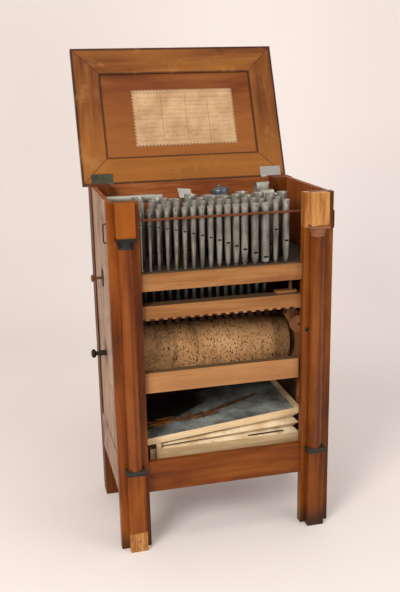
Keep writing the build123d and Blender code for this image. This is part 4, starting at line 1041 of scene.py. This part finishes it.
def make_barrel_pins():
    """The pins and bridges of the tunes, all round the barrel, with a few thinner bands."""
    shape = bmesh.new()
    chance = random.Random(7)
    pin_count, radius, half_wide = 4600, 74.0, 0.6
    left, right = -248.0, 226.0
    for _ in range(pin_count):
        x = chance.uniform(left, right)
        if noise.noise(Vector((x * 0.02, 0.0, 4.0))) < -0.28 and chance.random() < 0.6:
            continue
        angle = chance.uniform(0, 2 * math.pi)
        length = chance.choice((1.2, 1.3, 1.5, 3.0, 5.5))
        half_turn = length / radius / 2
        low, high = radius - 0.5, radius + 1.1
        turns = (angle - half_turn, angle + half_turn)
        corners = [
            place(x + side, BOLT_Y + r * math.cos(turn), BOLT_Z + r * math.sin(turn))
            for r, side, turn in itertools.product((low, high), (-half_wide, half_wide), turns)
        ]
        verts = [shape.verts.new(corner) for corner in corners]
        for face in ((4, 5, 7, 6), (0, 4, 6, 2), (1, 3, 7, 5), (0, 1, 5, 4), (2, 6, 7, 3)):
            shape.faces.new([verts[i] for i in face])
    new_object("tune_pins", shape, MATERIALS["pin"], False, "barrel")


def make_ribs(name, replaced, boards, folds, reach):
    """Folded leather between two boards, each given by its height at a place along x."""
    low, high = boards
    left, right, front, rear = LEATHER_BOX
    shape = bmesh.new()
    corners = ((left, front), (right, front), (right, rear), (left, rear))
    outline = []
    for start, end, steps in zip(corners, corners[1:] + corners[:1], (40, 20, 40, 20)):
        for step in range(steps):
            outline.append([a + (b - a) * step / steps for a, b in zip(start, end)])
    levels, parts = 2 * folds, 3
    for level in range(levels):
        strips = []
        for part in range(parts + 1):
            share = (level + part / parts) / levels
            inset = FOLD_DEPTH * (part / parts if level % 2 == 0 else 1 - part / parts)
            ring = []
            for x, y in outline:
                x = min(max(x, left + inset), right - inset)
                y = min(max(y, front + inset), rear - inset)
                bottom, top = low(x), high(x)
                z = bottom + (top - bottom) * share
                if share not in (0.0, 1.0):
                    ripple = 0.9 * noise.noise(Vector((x * 0.02, y * 0.02, level * 3.1)))
                    z = min(max(z + ripple, bottom), top)
                ring.append(place(x, y, z))
            strips.append(ring)
        add_rings(shape, strips, (False, False))
    piece = new_object(name, shape, MATERIALS["leather"], body="")
    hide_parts(replaced)
    start, end = reach
    place(*start)
    place(*end)
    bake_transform(piece)


def reservoir_underside(x):
    """How high the reservoir's top board starts at a place along x."""
    left, height, slope = RESERVOIR_LINE
    return height + (x - left) * math.tan(slope)


def feeder_upside(x):
    """How high the feeder's board ends at a place along x."""
    left, height, slope = FEEDER_LINE
    return height - (x - left) * math.tan(slope)


def make_bellows():
    """The leather of reservoir and feeder, the slot in a fold drawn as painted shade, and the tears in
    the top.
    """
    slope = RESERVOIR_LINE[2]
    end = Vector((0, LEATHER_MIDDLE_Y, reservoir_underside(0)))
    start = end - Vector((-math.sin(slope), 0, math.cos(slope))) * 40
    boards = (lambda x: RESERVOIR_FOOT, reservoir_underside)
    make_ribs("reservoir_leather", "reservoir_ribs", boards, 2, (start, end))
    slope = FEEDER_LINE[2]
    end = Vector((25, LEATHER_MIDDLE_Y, feeder_upside(25)))
    start = end - Vector((-math.sin(slope), 0, -math.cos(slope))) * 24
    boards = (feeder_upside, lambda x: FEEDER_CEILING)
    make_ribs("feeder_leather", "feeder_ribs", boards, 1, (start, end))
    # The slot is a near-black box of painted shade.
    slot_low, slot_high = (79, 46.6, 283.6), (188, 47.4, 287.2)
    pivot, tilt = (130, 47, 286), math.radians(-1.6)
    slot = bmesh.new()
    add_box(slot, slot_low, slot_high, Matrix.Rotation(tilt, 3, "Y"), pivot)
    new_object("fold_slot", slot, MATERIALS["painted_shade_black"], False)
    make_torn_leather(lambda x: reservoir_underside(x) + TOP_BOARD_THICKNESS)


def add_torn_strip(shape, start, end, width, surface, lift):
    """A ragged strip of leather between two places on the top board, curled up along its middle."""
    rows, columns = 7, 26
    grid = []
    for row in range(rows):
        line = []
        for column in range(columns):
            along = column / (columns - 1)
            x = start[0] + (end[0] - start[0]) * along
            wide = width * (0.35 + 0.65 * math.sin(math.pi * (0.12 + 0.8 * along)))
            wide *= 1 + 0.7 * noise.noise(Vector((x * 0.11, 1, 7)))
            y = start[1] + (end[1] - start[1]) * along + (row / (rows - 1) - 0.5) * wide
            y += 7 * noise.noise(Vector((x * 0.06, row, 2)))
            height = 1.2 + lift * max(0, 0.4 + noise.noise(Vector((x * 0.05, y * 0.09, 5))))
            edge = 0.3 if row in (0, rows - 1) else 1.0
            line.append(place(x, y, surface(x) + height * edge))
        grid.append(line)
    add_rings(shape, grid, (False, False), around=False)


def make_torn_leather(surface):
    """Torn brown leather and splintered orange wood on the top board."""
    strip = bmesh.new()
    add_torn_strip(strip, (-120, 128), (10, 122), 34, surface, 8)
    add_torn_strip(strip, (-40, 128), (150, 196), 17, surface, 4)
    new_object("torn_leather", strip, MATERIALS["torn"], body="reservoir")
    count, half_width, thickness = 44, 1.5, 1.2
    left, right, front, rear = -208, -130, 118, 158
    chance = random.Random(3)
    splinters = bmesh.new()
    for _ in range(count):
        x = chance.uniform(left, right)
        y = chance.uniform(front, rear)
        length = chance.uniform(24, 62)
        swing = Matrix.Rotation(chance.uniform(-0.4, 0.25), 3, "Z")
        turn = swing @ Matrix.Rotation(chance.uniform(-0.02, 0.1), 3, "Y")
        z = surface(x) + chance.uniform(0.8, 3.0)
        corner = (x + length, y + half_width, z + thickness)
        add_box(splinters, (x, y - half_width, z), corner, turn, (x, y, z))
    new_object("splintered_wood", splinters, MATERIALS["splinter"], False, "reservoir")


def make_socket_ring():
    """The bright rim of the crank's socket in the right post."""
    rim = bmesh.new()
    inward = Matrix.Rotation(math.radians(90), 3, "X")
    rings = [
        turned_ring(place(CRANK_X, 0, CRANK_Z), radius, proud, inward)
        for radius, proud in ((6.6, 0.2), (6.4, 1.2), (5.2, 1.3), (5.0, 0.4))
    ]
    add_rings(rim, rings, (False, False))
    new_object("socket_rim", rim, MATERIALS["iron_bright"])


make_camera()
make_stage()
make_light()

MATERIALS = {
    "front_posts": polished("post_polish", marks=post_wear),
    "columns": polished("column_polish", roughness=0.24, marks=column_wear, coat=0.16),
    "blocks": polished("block_polish", marks=block_wear),
    "apron": polished("apron_polish", "X", 0.4, shade=0.82),
    "rear": polished("rear_polish", shade=0.6, roughness=0.5),
    "rails": wood("rail_wood", (118, 72, 36), (156, 104, 58), (178, 128, 80), "X", 0.5, marks=rail_wear_and_shade),
    "sides": wood("side_wood", (96, 44, 16), (140, 74, 34), (166, 98, 50), "Z", 0.5, marks=side_wear_and_shade),
    "back": wood(
        "back_wood", (104, 46, 16), (150, 80, 36), (176, 106, 56), "X", 0.62, 2.2, marks=back_inside_shade
    ),
    "inner": wood("inner_wood", (64, 40, 24), (104, 70, 42), (134, 96, 62), "X", 0.66, marks=dusty_top),
    "tool": wood("tool_wood", (62, 36, 20), (112, 70, 42), (148, 100, 64), "Z", 0.55),
    "bearer": wood(
        "bearer_wood", (96, 60, 36), (152, 102, 66), (184, 132, 92), "Z", 0.55, marks=bearer_shade
    ),
    "key": wood("key_wood", (30, 17, 10), (66, 36, 22), (96, 58, 38), "Y", 0.55, marks=key_paint_and_shade),
    "key_rail": wood("key_rail_wood", (58, 26, 12), (104, 52, 30), (128, 72, 44), "X", 0.55),
    "rack": wood("rack_wood", (80, 34, 14), (118, 60, 28), (146, 84, 44), "X", 0.5),
    "moulding": wood(
        "moulding_black", (20, 20, 20), (46, 44, 40), (86, 76, 62), "X", 0.4, marks=moulding_wear
    ),
    "lid_frame": lid_wood(),
    "lid_panel": wood(
        "lid_panel_polish", (84, 38, 10), (118, 60, 18), (142, 82, 32), "X", 0.4, 0.8, 0.1,
        marks=lid_panel_lower_tone,
    ),
    "cream_wood": wood("cream_wood", (176, 140, 98), (216, 186, 142), (236, 212, 170), "X", 0.6),
    "iron": metal("iron", (34, 28, 24), (78, 66, 56), 0.5, 0.8),
    "hinge": metal("hinge_metal", (58, 56, 44), (96, 92, 74), 0.42, 0.8, marks=bright_right_hinge),
    "iron_bright": metal("iron_bright", (96, 90, 84), (160, 154, 146), 0.3, 1.0),
    "brass": metal("brass", (112, 84, 44), (158, 126, 74), 0.42),
    "pin": metal("pin_metal", (22, 13, 8), (52, 34, 20), 0.6, 0.2),
    "cap": metal("cap_metal", (78, 88, 96), (136, 148, 156), 0.28, 0.7),
    "front_pipe": pipe_metal("front_pipe_metal", (88, 82, 73), (152, 145, 133), 0.0),
    "rear_pipe": pipe_metal("rear_pipe_metal", (62, 58, 52), (128, 123, 114), 0.75),
    "barrel": barrel_paper(),
    "bellows": bellows_paper(),
    "leather": leather("bellows_leather", (214, 184, 142), (240, 222, 188), (176, 140, 100)),
    "torn": leather("torn_leather", (52, 34, 22), (112, 78, 52), (34, 24, 18)),
    "splinter": wood("splinter_wood", (150, 82, 34), (206, 132, 68), (228, 168, 104), "X", 0.7),
    "paper": tune_paper(),
    # Near-black for painted shade in mouths and slots.
    "painted_shade_black": metal("painted_shade_black", (8, 7, 6), (14, 12, 10), 0.9, 0.0),
}

NODE_MATERIALS = {
    "front_posts": ("left_front_post", "right_front_post"),
    "columns": ("column_shafts",),
    "blocks": ("post_blocks",),
    "apron": ("front_apron",),
    "rear": ("rear_posts",),
    "rails": ("upper_front_rail", "middle_front_rail", "lower_front_rail"),
    "sides": ("left_side_panel", "right_side_panel"),
    "back": ("back_panel",),
    "inner": ("floor_board", "wind_chest", "sound_board", "wind_trunk", "feeder_board"),
    "bearer": ("left_bearer_board", "right_bearer_board", "crank_bearing_blocks"),
    "tool": ("connecting_rod", "stop_knob"),
    "key": tuple(f"key_{number:02d}" for number in range(1, 18)),
    "key_rail": ("key_rail",),
    "rack": ("pipe_rack",),
    "moulding": ("column_mouldings",),
    "lid_frame": ("lid_frame",),
    "lid_panel": ("lid_panel",),
    "cream_wood": ("bellows_middle_board",),
    "iron": ("iron_fittings", "barrel_arbor", "crankshaft", "tune_bolt"),
    "hinge": ("lid_hinge_leaves", "case_hinge_leaves"),
    "brass": ("barrel_pins", "worm_wheel"),
    "front_pipe": ("front_pipes",),
    "rear_pipe": ("rear_pipes",),
    "barrel": ("barrel",),
    "bellows": ("reservoir_top_board",),
    "leather": ("reservoir_ribs", "feeder_ribs"),
    "paper": ("tune_sheet",),
}

for finish, names in NODE_MATERIALS.items():
    for name in names:
        paint_node(name, MATERIALS[finish])

make_pipes()
make_barrel_pins()
make_bellows()
make_socket_ring()
